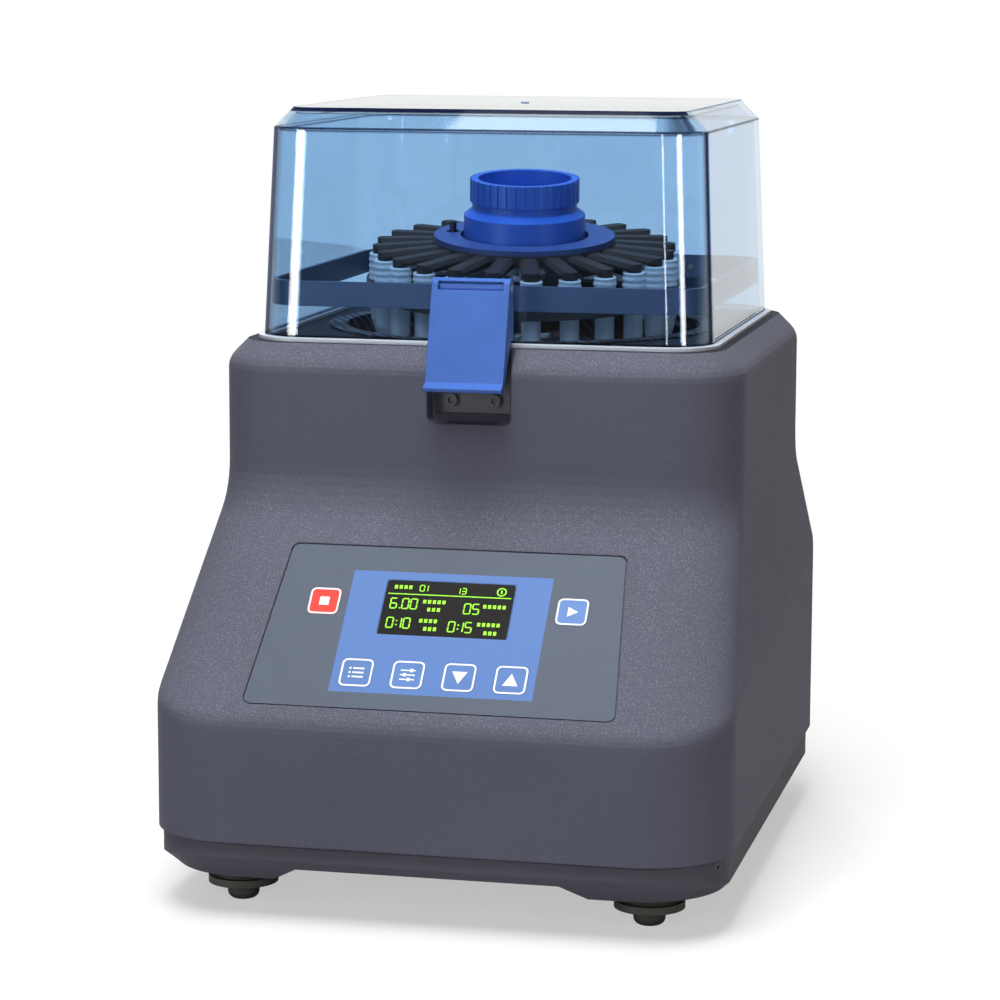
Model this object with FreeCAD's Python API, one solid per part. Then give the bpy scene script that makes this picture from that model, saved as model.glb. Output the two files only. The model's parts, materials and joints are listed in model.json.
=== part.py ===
import FreeCAD, Part
import math
import os

# Laboratory homogenizer, in millimetres, +Z up, front towards -Y.
# The origin lies on the bench, under the middle of the footprint.

Vec = FreeCAD.Vector
X_AXIS = Vec(1, 0, 0)
Y_AXIS = Vec(0, 1, 0)
Z_AXIS = Vec(0, 0, 1)

# Housing
LOWER_WIDTH = 310.0
LOWER_DEPTH = 390.0
LOWER_CORNER = 47.0
UPPER_WIDTH = 287.0
UPPER_DEPTH = 275.0
UPPER_CORNER = 38.0
UPPER_CENTRE_Y = 45.0
SEAM_HEIGHT = 42.0
SEAM_GAP = 0.8
FRONT_CREASE_HEIGHT = 107.5
REAR_CREASE_HEIGHT = 161.0
BEND_HEIGHT = 210.0
CREASE_SHARES = (0.09, 0.04)
BEND_SHARES = (0.12, 0.23)
SHOULDER_SHARES = (0.06, 0.4)
CREASE_STEPS = 4
BEND_STEPS = 6
SHOULDER_STEPS = 3
DECK_HEIGHT = 292.0
DECK_CHAMFER = 10.7
HOUSING_WALL = 4.0

# Base tray
TRAY_INSET = 2.5
TRAY_BOTTOM = 20.0
TRAY_FRONT_CREASE = 33.3
TRAY_SIDE_CREASE = 25.0
TRAY_FRONT_UNDERCUT = 13.0
TRAY_SIDE_UNDERCUT = 4.0
TRAY_WALL = 4.0
TRAY_FLOOR_TOP = 35.0
SKIRT_GAP = 0.4
SKIRT_FLANGE = 4.0
ARCH_TOP = 28.0
ARCH_HALF_WIDTH = 70.0
ARCH_SLOPE = 14.0
TRAY_SCREW_ANGLE = 23.0
TRAY_SCREW_DROP = 4.5
TRAY_SCREW_RADIUS = 1.5
VENT_LENGTH = 60.0
VENT_WIDTH = 4.0
VENT_PITCH = 12.0
VENT_COUNT = 8
VENT_CENTRE_Y = 110.0

# Feet
FOOT_SIDE_INSET = 44.5
FOOT_END_INSET = 47.5
FOOT_DISC_RADIUS = 18.7
FOOT_DISC_THICKNESS = 4.0
FOOT_RADIUS = 8.5
FOOT_TOE_RADIUS = 4.5
FOOT_HEIGHT = 9.5
FOOT_BOSS_RADIUS = 20.5

# Screws
SCREW_RADIUS = 2.0
SCREW_HEAD_SCALE = 1.8
SCREW_HEAD_HEIGHT = 2.2
SCREW_CLEARANCE = 0.15
SOCKET_SCALE = 0.8
SOCKET_DEPTH = 1.2

# Lid
LID_DECK_MARGIN = 18.5
LID_HEIGHT = 123.7
LID_CORNER = 25.0
LID_DRAFT = 2.4
LID_SHOULDER_DROP = 11.0
LID_CHAMFER = 10.7
LID_WALL = 3.0
LID_SEAT_GAP = 0.3
GATE_MARK_RADIUS = 2.4
GATE_MARK_HEIGHT = 0.6
GASKET_HEIGHT = 2.0
GASKET_MARGIN = 3.25
GASKET_WIDTH = 7.0
FRAME_RISE = 16.7
FRAME_HEIGHT = 13.6
FRAME_THICKNESS = 2.5
FRAME_GAP = 0.1

# Lid hinge
HINGE_REACH = 5.5
HINGE_RISE = 6.7
HINGE_X = 65.0
HINGE_WIDTH = 46.0
HINGE_KNUCKLE_RADIUS = 4.5
HINGE_PIN_RADIUS = 2.0
HINGE_PIN_CLEARANCE = 0.05
HINGE_KNUCKLE_GAP = 0.4
HINGE_PLATE = 3.0
HINGE_PLATE_DROP = 32.0
HINGE_LEAF_RISE = 28.7
HINGE_SCREW_X = 12.0

# Latch
LATCH_PIN_REACH = 9.0
LATCH_PIN_RISE = 30.3
LATCH_PIN_RADIUS = 2.0
LATCH_PIN_CLEARANCE = 0.05
LEVER_WIDTH = 42.6
LEVER_LEAN = 17.3
LEVER_LENGTH = 57.0
LEVER_THICKNESS = 3.0
LEVER_FACE = 5.1
LEVER_CHEEK = 3.5
CHEEK_TOE = 48.0
CHEEK_TOE_REACH = 1.0
CHEEK_KNEE = 27.5
CHEEK_KNEE_REACH = 7.0
CHEEK_HEEL = 25.0
CHEEK_HEEL_REACH = 12.5
LEVER_LIP_LENGTH = 4.0
LEVER_LIP_REACH = 4.0
BARREL_RADIUS = 3.5
BARREL_GAP = 0.4
BAR_START = 3.0
BAR_END = 45.0
NECK_DROP = 0.45
WINDOW_BOTTOM = 2.6
BRACKET_PLATE = 3.0
BRACKET_RISE = 4.7
BRACKET_SCREW_X = 10.0
HOOK_HALF_WIDTH = 14.0
HOOK_DROP = 17.0
HOOK_THICKNESS = 3.2
HOOK_REACH = 5.3
RECESS_HALF_WIDTH = 23.0
RECESS_HEIGHT = 40.0
RECESS_DEPTH = 12.0
RECESS_CORNER = 4.0
KEEPER_HALF_WIDTH = 20.5
KEEPER_PLATE = 1.5
KEEPER_RISE = 5.0
KEEPER_TOP_DROP = 1.0
KEEPER_TAB_REACH = 9.0
KEEPER_HOOK_GAP = 1.0
KEEPER_SCREW_X = 12.0
KEEPER_SCREW_RISE = 12.0

# Control panel, measured down the slope from the panel's upper edge
PANEL_HEIGHT = 103.2
PANEL_CREASE_MARGIN = 10.96
PANEL_TOP_HALF = 91.0
PANEL_BOTTOM_HALF = 99.0
PANEL_CORNER = 4.5
PANEL_RECESS = 1.2
PANEL_GROOVE = 0.7
OVERLAY_SINK = 0.1
DISPLAY_HALF_WIDTH = 35.0
DISPLAY_TOP = 21.2
DISPLAY_BOTTOM = 55.9
DISPLAY_CORNER = 0.8
DISPLAY_LEDGE = 3.0
ROW_KEY = 17.0
SIDE_KEY = 16.5
KEY_CORNER = 2.6
KEY_GAP = 0.2
KEY_THICKNESS = 0.75
KEY_TRAVEL = 0.4
KEY_STEM_RADIUS = 2.5
KEY_STEM_CLEARANCE = 0.5
ROW_KEY_PITCH = 27.4
ROW_KEY_DOWN = 80.7
SIDE_KEY_X = 66.8
SIDE_KEY_DOWN = 36.8
BOARD_DEPTH = 10.0
BOARD_THICKNESS = 1.6
BOARD_HALF_WIDTH = 80.0
BOARD_TOP = 17.2
BOARD_BOTTOM = 93.2
BOARD_POST_RADIUS = 3.0
BOARD_POST_INSET = 5.0
SWITCH_SIZE = 6.0
SWITCH_HEIGHT = 3.0

# Chamber
CHAMBER_LID_MARGIN = 16.0
CHAMBER_WALL = 2.0
CHAMBER_FLANGE = 8.0
CHAMBER_FLANGE_HEIGHT = 1.2
CHAMBER_DEPTH = 29.0
CHAMBER_CORNER = 12.0
CHAMBER_COLLAR_RADIUS = 27.0
CHAMBER_COLLAR_HEIGHT = 8.0
CHAMBER_HOLE_GAP = 0.3

# Rotor, modelled upright about the swash centre and then tilted.
# A rise or a drop is measured from the swash centre.
SWASH_RISE = 13.0
SWASH_TILT = 6.5
SWASH_TURN = 12.7
TUBE_COUNT = 24
TUBE_CIRCLE_MARGIN = 21.0
TUBE_RADIUS = 5.4
TUBE_RISE = 16.0
TUBE_DROP = 19.0
TUBE_TIP_RADIUS = 2.0
TUBE_TIP_LENGTH = 10.0
TUBE_WALL = 1.0
TUBE_HOLE_CLEARANCE = 0.2
CAP_RADIUS = 6.7
CAP_RISE = 29.0
HOLDER_RISE = 14.0
HOLDER_THICKNESS = 6.0
HOLDER_RIM = 8.0
HOLDER_HUB_RADIUS = 26.0
HOLDER_HUB_DROP = 13.0
HOLDER_WINDOW_INNER = 34.0
HOLDER_WINDOW_MARGIN = 14.0
HOLDER_RIB_COUNT = 6
HOLDER_RIB = 9.0
JOURNAL_RADIUS = 9.0
JOURNAL_RISE = 6.0
BEARING_OUTER_RADIUS = 16.0
BEARING_HEIGHT = 7.0
BEARING_COUNT = 2
BEARING_CLEARANCE = 0.05
SWASH_HUB_RADIUS = 20.0
SWASH_HUB_HEIGHT = 16.0
SWASH_HUB_DROP = 19.0
JOURNAL_ROOT = 6.0
SHAFT_SOCKET_ROOF = 4.0
STUD_RADIUS = 5.0
STUD_RISE = 63.0
STUD_FOOT_RADIUS = 12.0
STUD_FOOT_HEIGHT = 3.0
GUIDE_PIN_RADIUS = 3.0
GUIDE_PIN_MARGIN = 6.0
GUIDE_FORK_MARGIN = 14.0
GUIDE_FORK_GAP = 0.6
GUIDE_FORK_WIDTH = 6.0
GUIDE_FORK_RISE = 11.0

# Pressure plate, flange disc and knob
PLATE_HUB_RADIUS = 52.0
PLATE_RISE = 36.2
PLATE_THICKNESS = 6.0
PLATE_BORE_CLEARANCE = 0.2
FINGER_COUNT = 24
FINGER_OVERHANG = 4.0
FINGER_WIDTH = 11.0
FINGER_ROOT_RADIUS = 36.0
FINGER_TIP_RISE = 33.6
FINGER_TIP_THICKNESS = 3.6
FINGER_EDGE = 2.2
FINGER_PAD_RADIUS = 4.2
PLATE_CAP_GAP = 0.05
DISC_RADIUS = 51.4
DISC_HOLE_RADIUS = 36.5
DISC_THICKNESS = 3.0
LOCK_PIN_RADIUS = 2.0
LOCK_PIN_CIRCLE = 41.7
LOCK_PIN_RISE = 5.5
LOCK_PIN_SINK = 4.4
KNOB_RISE = 71.5
KNOB_RADIUS = 31.0
KNOB_HOLLOW_RADIUS = 26.4
KNOB_RIB_RISE = 58.5
KNOB_NECK_RADIUS = 29.7
KNOB_NECK_RISE = 54.5
KNOB_CONE_RISE = 51.0
KNOB_BASE_RADIUS = 34.4
KNOB_FLOOR_RISE = 44.0
KNOB_RIB_COUNT = 36
KNOB_RIB_DEPTH = 1.0
KNOB_RIB_SHARE = 0.55
KNOB_PLATE_GAP = 0.2
KNOB_LIFT = 9.0

# Drive
MOTOR_RADIUS = 46.0
MOTOR_DECK_DROP = 96.0
MOTOR_HEIGHT = 110.0
FRAME_PLATE_THICKNESS = 6.0
FRAME_PLATE_X = 72.0
FRAME_PLATE_Y = 62.0
FRAME_LEG_RADIUS = 7.0
MOUNT_RADIUS = 12.0
MOUNT_HEIGHT = 20.0
PILOT_RADIUS = 20.0
SHAFT_RADIUS = 8.0
SHAFT_SINK = 6.0
SHAFT_BEARING_RADIUS = 17.5
SHAFT_BEARING_HEIGHT = 24.0
BEARING_FLANGE = 8.0
BEARING_FLANGE_HEIGHT = 5.0
WEIGHT_RADIUS = 34.0
WEIGHT_DROP = 34.0
WEIGHT_HEIGHT = 12.0
WEIGHT_HUB_RADIUS = 16.0

# Rear fittings
REAR_RECESS = 3.0
INLET_X = 78.0
INLET_Z = 84.0
INLET_WIDTH = 27.0
INLET_HEIGHT = 20.0
INLET_FLANGE_WIDTH = 50.0
INLET_FLANGE_HEIGHT = 58.0
INLET_FLANGE_EDGE = 5.0
INLET_DEPTH = 25.0
INLET_SOCKET_DEPTH = 17.0
PIN_WIDTH = 2.0
PIN_HEIGHT = 5.0
PIN_LENGTH = 14.0
PIN_PITCH = 7.0
DRAWER_WIDTH = 24.0
DRAWER_HEIGHT = 10.0
DRAWER_RISE = 23.0
SWITCH_X = 78.0
SWITCH_Z = 142.0
ROCKER_WIDTH = 20.0
ROCKER_HEIGHT = 25.0
ROCKER_DEPTH = 5.0
ROCKER_DISH = 1.0
ROCKER_BACK = 3.0
ROCKER_TILT = 8.0
ROCKER_GAP = 0.4
ROCKER_AXLE_RADIUS = 1.5
SWITCH_FLANGE = 3.0
SWITCH_DEPTH = 22.0
FAN_X = -60.0
FAN_Z = 100.0
FAN_SIZE = 80.0
FAN_DEPTH = 25.0
FAN_BORE_RADIUS = 37.5
FAN_HUB_RADIUS = 16.0
FAN_BLADE_RADIUS = 36.0
FAN_BLADE_COUNT = 7
FAN_BLADE_ANGLE = 38.0
FAN_BLADE_HALF = 0.9
FAN_STRUT_HALF = 2.0
FAN_STRUT_DEPTH = 3.0
FAN_CUP_DEPTH = 4.0
FAN_ROTOR_START = 5.0
FAN_ROTOR_DEPTH = 16.0
FAN_SPINDLE_RADIUS = 2.0
FAN_SPINDLE_LENGTH = 18.0
GRILLE_SLOT_WIDTH = 4.0
GRILLE_PITCH = 8.0
GRILLE_COUNT = 9

# Electronics inside
SUPPLY_SIZE = (110.0, 90.0, 38.0)
SUPPLY_X = 70.0
CONTROLLER_SIZE = (110.0, 90.0, 30.0)
CONTROLLER_X = -70.0
MODULE_SETBACK = 80.0
STANDOFF_HEIGHT = 6.0

# Worked out from the driving sizes
LOWER_FRONT = -LOWER_DEPTH / 2
LOWER_REAR = LOWER_DEPTH / 2
UPPER_FRONT = UPPER_CENTRE_Y - UPPER_DEPTH / 2
UPPER_REAR = UPPER_CENTRE_Y + UPPER_DEPTH / 2
SLOPE_ANGLE = math.degrees(math.atan2(BEND_HEIGHT - FRONT_CREASE_HEIGHT, UPPER_FRONT - LOWER_FRONT))
SLOPE_LENGTH = math.hypot(BEND_HEIGHT - FRONT_CREASE_HEIGHT, UPPER_FRONT - LOWER_FRONT)
PANEL_TOP = SLOPE_LENGTH - PANEL_CREASE_MARGIN - PANEL_HEIGHT
FOOT_X = LOWER_WIDTH / 2 - FOOT_SIDE_INSET
FOOT_Y = LOWER_DEPTH / 2 - FOOT_END_INSET
SCREW_HEAD_RADIUS = SCREW_RADIUS * SCREW_HEAD_SCALE
SKIRT_INSET = TRAY_INSET + TRAY_WALL + SKIRT_GAP
GASKET_TOP = DECK_HEIGHT + GASKET_HEIGHT
LID_BOTTOM = GASKET_TOP + LID_SEAT_GAP
LID_BOTTOM_WIDTH = UPPER_WIDTH - 2 * LID_DECK_MARGIN
LID_BOTTOM_DEPTH = UPPER_DEPTH - 2 * LID_DECK_MARGIN
LID_TOP_HEIGHT = LID_BOTTOM + LID_HEIGHT
LID_SHOULDER_HEIGHT = LID_TOP_HEIGHT - LID_SHOULDER_DROP
LID_SLOPE = math.tan(math.radians(LID_DRAFT))
FRAME_BOTTOM = LID_BOTTOM + FRAME_RISE
FRAME_TOP = FRAME_BOTTOM + FRAME_HEIGHT
HINGE_Y = UPPER_REAR + HINGE_REACH
HINGE_Z = LID_BOTTOM + HINGE_RISE
HINGE_PLATE_BOTTOM = DECK_HEIGHT - HINGE_PLATE_DROP
HINGE_LEAF_TOP = LID_BOTTOM + HINGE_LEAF_RISE
LATCH_PIN_Y = UPPER_FRONT + LATCH_PIN_REACH
LATCH_PIN_Z = LID_BOTTOM + LATCH_PIN_RISE
BRACKET_BOTTOM = LID_BOTTOM + BRACKET_RISE
HOOK_TOP = DECK_HEIGHT - HOOK_DROP
HOOK_END_Y = UPPER_FRONT + HOOK_REACH
RECESS_BOTTOM = DECK_HEIGHT - RECESS_HEIGHT
RECESS_FLOOR_Y = UPPER_FRONT + RECESS_DEPTH
KEEPER_BOTTOM = RECESS_BOTTOM + KEEPER_RISE
KEEPER_TOP = DECK_HEIGHT - KEEPER_TOP_DROP
KEEPER_TAB_BOTTOM = HOOK_TOP + KEEPER_HOOK_GAP
KEEPER_SCREW_Z = RECESS_BOTTOM + KEEPER_SCREW_RISE
CHAMBER_RADIUS = min(LID_BOTTOM_WIDTH, LID_BOTTOM_DEPTH) / 2 - CHAMBER_LID_MARGIN
CHAMBER_FLOOR = DECK_HEIGHT - CHAMBER_DEPTH
TUBE_CIRCLE_RADIUS = CHAMBER_RADIUS - TUBE_CIRCLE_MARGIN
HOLDER_RIM_RADIUS = TUBE_CIRCLE_RADIUS + HOLDER_RIM
HOLDER_WINDOW_OUTER = TUBE_CIRCLE_RADIUS - HOLDER_WINDOW_MARGIN
GUIDE_PIN_END = HOLDER_WINDOW_OUTER - GUIDE_PIN_MARGIN
GUIDE_FORK_RADIUS = HOLDER_WINDOW_OUTER - GUIDE_FORK_MARGIN
FINGER_END_RADIUS = TUBE_CIRCLE_RADIUS + FINGER_OVERHANG
SWASH_HEIGHT = DECK_HEIGHT + SWASH_RISE
TUBE_TOP = SWASH_HEIGHT + TUBE_RISE
TUBE_BOTTOM = SWASH_HEIGHT - TUBE_DROP
CAP_TOP = SWASH_HEIGHT + CAP_RISE
HOLDER_TOP = SWASH_HEIGHT + HOLDER_RISE
HOLDER_HUB_BOTTOM = SWASH_HEIGHT - HOLDER_HUB_DROP
JOURNAL_TOP = SWASH_HEIGHT + JOURNAL_RISE
SWASH_HUB_TOP = SWASH_HEIGHT - SWASH_HUB_DROP
SWASH_HUB_BOTTOM = SWASH_HUB_TOP - SWASH_HUB_HEIGHT
STUD_TOP = SWASH_HEIGHT + STUD_RISE
GUIDE_FORK_TOP = SWASH_HEIGHT + GUIDE_FORK_RISE
PLATE_TOP = SWASH_HEIGHT + PLATE_RISE
FINGER_TIP_TOP = SWASH_HEIGHT + FINGER_TIP_RISE
KNOB_TOP = SWASH_HEIGHT + KNOB_RISE
KNOB_RIB_BOTTOM = SWASH_HEIGHT + KNOB_RIB_RISE
KNOB_CONE_TOP = SWASH_HEIGHT + KNOB_NECK_RISE
KNOB_CONE_BOTTOM = SWASH_HEIGHT + KNOB_CONE_RISE
KNOB_FLOOR = SWASH_HEIGHT + KNOB_FLOOR_RISE
MOTOR_TOP = DECK_HEIGHT - MOTOR_DECK_DROP
MOTOR_BOTTOM = MOTOR_TOP - MOTOR_HEIGHT
SHAFT_BOTTOM = MOTOR_TOP - SHAFT_SINK
WEIGHT_BOTTOM = SWASH_HUB_BOTTOM - WEIGHT_DROP
MODULE_Y = LOWER_FRONT + MODULE_SETBACK
CHAMFER_FALL = math.tan(math.radians(22.5))
HOLDER_BOTTOM = HOLDER_TOP - HOLDER_THICKNESS
DISC_TOP = PLATE_TOP + DISC_THICKNESS
REAR_FACE = LOWER_REAR - REAR_RECESS
INLET_BODY_HALF = INLET_FLANGE_WIDTH / 2 - INLET_FLANGE_EDGE
INLET_BODY_HEIGHT = INLET_FLANGE_HEIGHT - 2 * INLET_FLANGE_EDGE
SWITCH_FLANGE_HALF_X = ROCKER_WIDTH / 2 + SWITCH_FLANGE
SWITCH_FLANGE_HALF_Z = ROCKER_HEIGHT / 2 + SWITCH_FLANGE
SWITCH_BODY_HALF_X = ROCKER_WIDTH / 2 + SWITCH_FLANGE / 2
SWITCH_BODY_HALF_Z = ROCKER_HEIGHT / 2 + SWITCH_FLANGE / 2
ROCKER_REACH = ROCKER_HEIGHT / 2 * math.sin(math.radians(ROCKER_TILT))
ROCKER_AXIS_Y = LOWER_REAR - ROCKER_GAP - ROCKER_DEPTH - ROCKER_REACH
DISPLAY_DOWN = (DISPLAY_TOP + DISPLAY_BOTTOM) / 2


def rounded_points(half_width, front, rear, corner, height):
    """Twelve points round a rounded rectangle: each corner's two ends and its middle."""
    points = []
    centres = (
        (half_width - corner, front + corner, -90),
        (half_width - corner, rear - corner, 0),
        (-half_width + corner, rear - corner, 90),
        (-half_width + corner, front + corner, 180),
    )
    for centre_x, centre_y, start in centres:
        for turn in (start, start + 45, start + 90):
            x = centre_x + corner * math.cos(math.radians(turn))
            y = centre_y + corner * math.sin(math.radians(turn))
            points.append(Vec(x, y, height(y)))
    return points


def level(height):
    """A height that is the same all round an outline."""
    return lambda y: height


def outline_wire(points):
    """A closed wire of four arcs and four straight sides."""
    edges = []
    for index in range(0, len(points), 3):
        start, middle, end = points[index:index + 3]
        edges.append(Part.Arc(start, middle, end).toShape())
        edges.append(Part.LineSegment(end, points[(index + 3) % len(points)]).toShape())
    return Part.Wire(edges)


def ruled_solid(outlines):
    """The closed solid that runs straight from each outline to the next."""
    return Part.makeLoft([outline_wire(points) for points in outlines], True, True)


def rounded_block(half_width, half_height, corner, depth):
    """A block with rounded upright edges, standing on the XY plane round the origin."""
    points = rounded_points(half_width, -half_height, half_height, corner, level(0))
    return Part.Face(outline_wire(points)).extrude(Z_AXIS * depth)


def box(x_range, y_range, z_range):
    """A block between pairs of coordinates."""
    size = [high - low for low, high in (x_range, y_range, z_range)]
    return Part.makeBox(*size, Vec(x_range[0], y_range[0], z_range[0]))


def rod(radius, start, end):
    """A round rod between two points."""
    along = end.sub(start)
    return Part.makeCylinder(radius, along.Length, start, along)


def polygon_prism(points, start_x, end_x):
    """A profile of (y, z) points carried along X."""
    corners = [Vec(start_x, y, z) for y, z in points]
    return Part.Face(Part.makePolygon(corners + corners[:1])).extrude(X_AXIS * (end_x - start_x))


def revolved(points, centre_x=0.0, centre_y=0.0):
    """A profile of (radius, z) points turned about an upright axis."""
    corners = [Vec(centre_x + radius, centre_y, z) for radius, z in points]
    face = Part.Face(Part.makePolygon(corners + corners[:1]))
    return face.revolve(Vec(centre_x, centre_y, 0), Z_AXIS, 360)


def fused(solids):
    """One solid from several that share faces or volume."""
    return solids[0].multiFuse(solids[1:]).removeSplitter()


def screw(place, direction, length, radius=SCREW_RADIUS):
    """A socket screw whose head sits on place and whose shank runs along direction."""
    shank = rod(radius, place, place + direction * length)
    head = rod(radius * SCREW_HEAD_SCALE, place, place - direction * SCREW_HEAD_HEIGHT)
    top = place - direction * SCREW_HEAD_HEIGHT
    socket = rod(radius * SOCKET_SCALE, top, top + direction * SOCKET_DEPTH)
    return head.fuse(shank).cut(socket)


def screw_hole(place, direction, length, radius=SCREW_RADIUS):
    """The clearance hole for a screw's shank, open at both ends."""
    return rod(radius + SCREW_CLEARANCE, place - direction * length, place + direction * length)


def head_hole(place, direction, depth, radius=SCREW_RADIUS):
    """The clearance hole for a screw's head, from its seat outwards."""
    return rod(radius * SCREW_HEAD_SCALE + SCREW_CLEARANCE, place, place - direction * depth)


def write(node, solids):
    """Write one node's solids to its own file."""
    shape = solids if isinstance(solids, Part.Shape) else Part.makeCompound(solids)
    shape.exportStep("parts/" + node + ".step")
    count = len(shape.Solids)
    print(f"{node}: {count} solids, valid {shape.isValid()}, volume {shape.Volume:.0f}")


# Housing

def crease_height(y):
    """The lower edge of the skirt climbs evenly from the front to the rear."""
    share = (y - LOWER_FRONT) / LOWER_DEPTH
    return FRONT_CREASE_HEIGHT + share * (REAR_CREASE_HEIGHT - FRONT_CREASE_HEIGHT)


def blended(before, at, after, shares, steps):
    """Outlines that round an edge: each point follows a parabola that leaves and rejoins the straight runs."""
    outlines = []
    for step in range(steps + 1):
        share = step / steps
        back = shares[0] * (1 - share) ** 2
        ahead = shares[1] * share ** 2
        outlines.append([middle + (low - middle) * back + (high - middle) * ahead
                         for low, middle, high in zip(before, at, after)])
    return outlines


def housing_body(inset, floor, ceiling):
    """The housing's outer form, or its hollow when it is inset by the wall."""
    fall = inset * math.tan(math.radians((90 - SLOPE_ANGLE) / 2))
    shoulder_height = ceiling - DECK_CHAMFER + inset * (1 - CHAMFER_FALL)
    cut = ceiling - shoulder_height
    half_width, front, rear, corner = (UPPER_WIDTH / 2 - inset, UPPER_FRONT + inset, UPPER_REAR - inset,
                                       UPPER_CORNER - inset)
    lower = (LOWER_WIDTH / 2 - inset, LOWER_FRONT + inset, LOWER_REAR - inset, LOWER_CORNER - inset)
    skirt = rounded_points(*lower, level(floor))
    crease = rounded_points(*lower, lambda y: crease_height(y) - fall)
    bend = rounded_points(half_width, front, rear, corner, level(BEND_HEIGHT - fall))
    shoulder = rounded_points(half_width, front, rear, corner, level(shoulder_height))
    deck = rounded_points(half_width - cut, front + cut, rear - cut, corner - cut, level(ceiling))
    outlines = [skirt]
    outlines += blended(skirt, crease, bend, CREASE_SHARES, CREASE_STEPS)
    outlines += blended(crease, bend, shoulder, BEND_SHARES, BEND_STEPS)
    outlines += blended(bend, shoulder, deck, SHOULDER_SHARES, SHOULDER_STEPS)
    outlines.append(deck)
    return ruled_solid(outlines)


def on_slope(shape, down, depth=0.0):
    """Move a shape from the XY plane onto the slope, down from its bend and sunk by a depth."""
    angle = math.radians(SLOPE_ANGLE)
    down_slope = Vec(0, -math.cos(angle), -math.sin(angle))
    outward = Vec(0, -math.sin(angle), math.cos(angle))
    origin = Vec(0, UPPER_FRONT, BEND_HEIGHT) + down_slope * down - outward * depth
    placed = shape.copy()
    placed.Placement = FreeCAD.Placement(origin, FreeCAD.Rotation(X_AXIS, SLOPE_ANGLE))
    return placed


def panel_blank(margin, depth):
    """The panel's rounded trapezoid, grown by a margin, with its top edge on the X axis."""
    corners = [
        Vec(-PANEL_TOP_HALF - margin, margin, 0),
        Vec(PANEL_TOP_HALF + margin, margin, 0),
        Vec(PANEL_BOTTOM_HALF + margin, -PANEL_HEIGHT - margin, 0),
        Vec(-PANEL_BOTTOM_HALF - margin, -PANEL_HEIGHT - margin, 0),
    ]
    blank = Part.Face(Part.makePolygon(corners + corners[:1])).extrude(Z_AXIS * -depth)
    upright = [edge for edge in blank.Edges if edge.BoundBox.ZLength > depth / 2]
    return blank.makeFillet(PANEL_CORNER + margin, upright)


def key_places():
    """Each key's name, side, place across the panel and place down the slope."""
    row = ["program_key", "set_key", "down_key", "up_key"]
    places = [("stop_key", SIDE_KEY, -SIDE_KEY_X, SIDE_KEY_DOWN)]
    places.append(("start_key", SIDE_KEY, SIDE_KEY_X, SIDE_KEY_DOWN))
    for index, name in enumerate(row):
        across = (index - (len(row) - 1) / 2) * ROW_KEY_PITCH
        places.append((name, ROW_KEY, across, ROW_KEY_DOWN))
    return places


def key_blank(size, margin, depth):
    """A rounded square under the XY plane, grown by a margin."""
    half = size / 2 + margin
    return rounded_block(half, half, KEY_CORNER + margin, -depth)


def across(shape, x, down, depth=0.0):
    """Place a shape across and down the slope."""
    moved = shape.copy()
    moved.translate(Vec(x, 0, 0))
    placed = on_slope(Part.makeCompound([moved]), PANEL_TOP + down, depth)
    return placed.Solids[0]


def display_blank(margin, corner, depth):
    """The display's opening under the XY plane, grown by a margin."""
    half_height = (DISPLAY_BOTTOM - DISPLAY_TOP) / 2
    return rounded_block(DISPLAY_HALF_WIDTH + margin, half_height + margin, corner, -depth)


def latch_pocket(margin):
    """The recess under the latch, or the block that carries its walls when grown by a margin."""
    half = RECESS_HALF_WIDTH + margin
    bottom = RECESS_BOTTOM - margin
    height = DECK_HEIGHT - bottom
    pocket = rounded_block(half, height, RECESS_CORNER + margin, RECESS_DEPTH + margin)
    pocket.rotate(Vec(), X_AXIS, -90)
    pocket.translate(Vec(0, UPPER_FRONT, DECK_HEIGHT))
    above = box((-half, half), (UPPER_FRONT - 1, UPPER_REAR), (DECK_HEIGHT, DECK_HEIGHT + 2 * height))
    return pocket.cut(above) if margin else pocket


def grille_cut():
    """Upright rounded slots through the rear wall, inside the fan's round opening."""
    slots = []
    for index in range(GRILLE_COUNT):
        offset = (index - (GRILLE_COUNT - 1) / 2) * GRILLE_PITCH
        half = math.sqrt((FAN_BORE_RADIUS - GRILLE_SLOT_WIDTH / 2) ** 2 - offset ** 2)
        slot = rounded_block(GRILLE_SLOT_WIDTH / 2, half, GRILLE_SLOT_WIDTH * 0.49, 2 * HOUSING_WALL)
        slot.rotate(Vec(), X_AXIS, 90)
        slot.translate(Vec(FAN_X + offset, LOWER_REAR + HOUSING_WALL / 2, FAN_Z))
        slots.append(slot)
    return slots


def rear_opening(x, z, half_width, half_height, corner, depth, outer=0.0):
    """A rounded pocket into the rear wall from its outer face."""
    pocket = rounded_block(half_width, half_height, corner, depth + outer)
    pocket.rotate(Vec(), X_AXIS, 90)
    pocket.translate(Vec(x, LOWER_REAR + outer, z))
    return pocket


def tray_screw_places():
    """Each corner screw's seat, sunk in the tray's wall, and its direction into the corner."""
    radius = LOWER_CORNER - TRAY_INSET - SCREW_HEAD_HEIGHT
    height = SEAM_HEIGHT - TRAY_SCREW_DROP
    places = []
    for side in (-1, 1):
        for end in (-1, 1):
            centre = Vec(side * (LOWER_WIDTH / 2 - LOWER_CORNER), end * (LOWER_REAR - LOWER_CORNER), height)
            angle = math.radians(TRAY_SCREW_ANGLE)
            outward = Vec(side * math.cos(angle), end * math.sin(angle), 0)
            places.append((centre + outward * radius, outward * -1))
    return places


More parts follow.
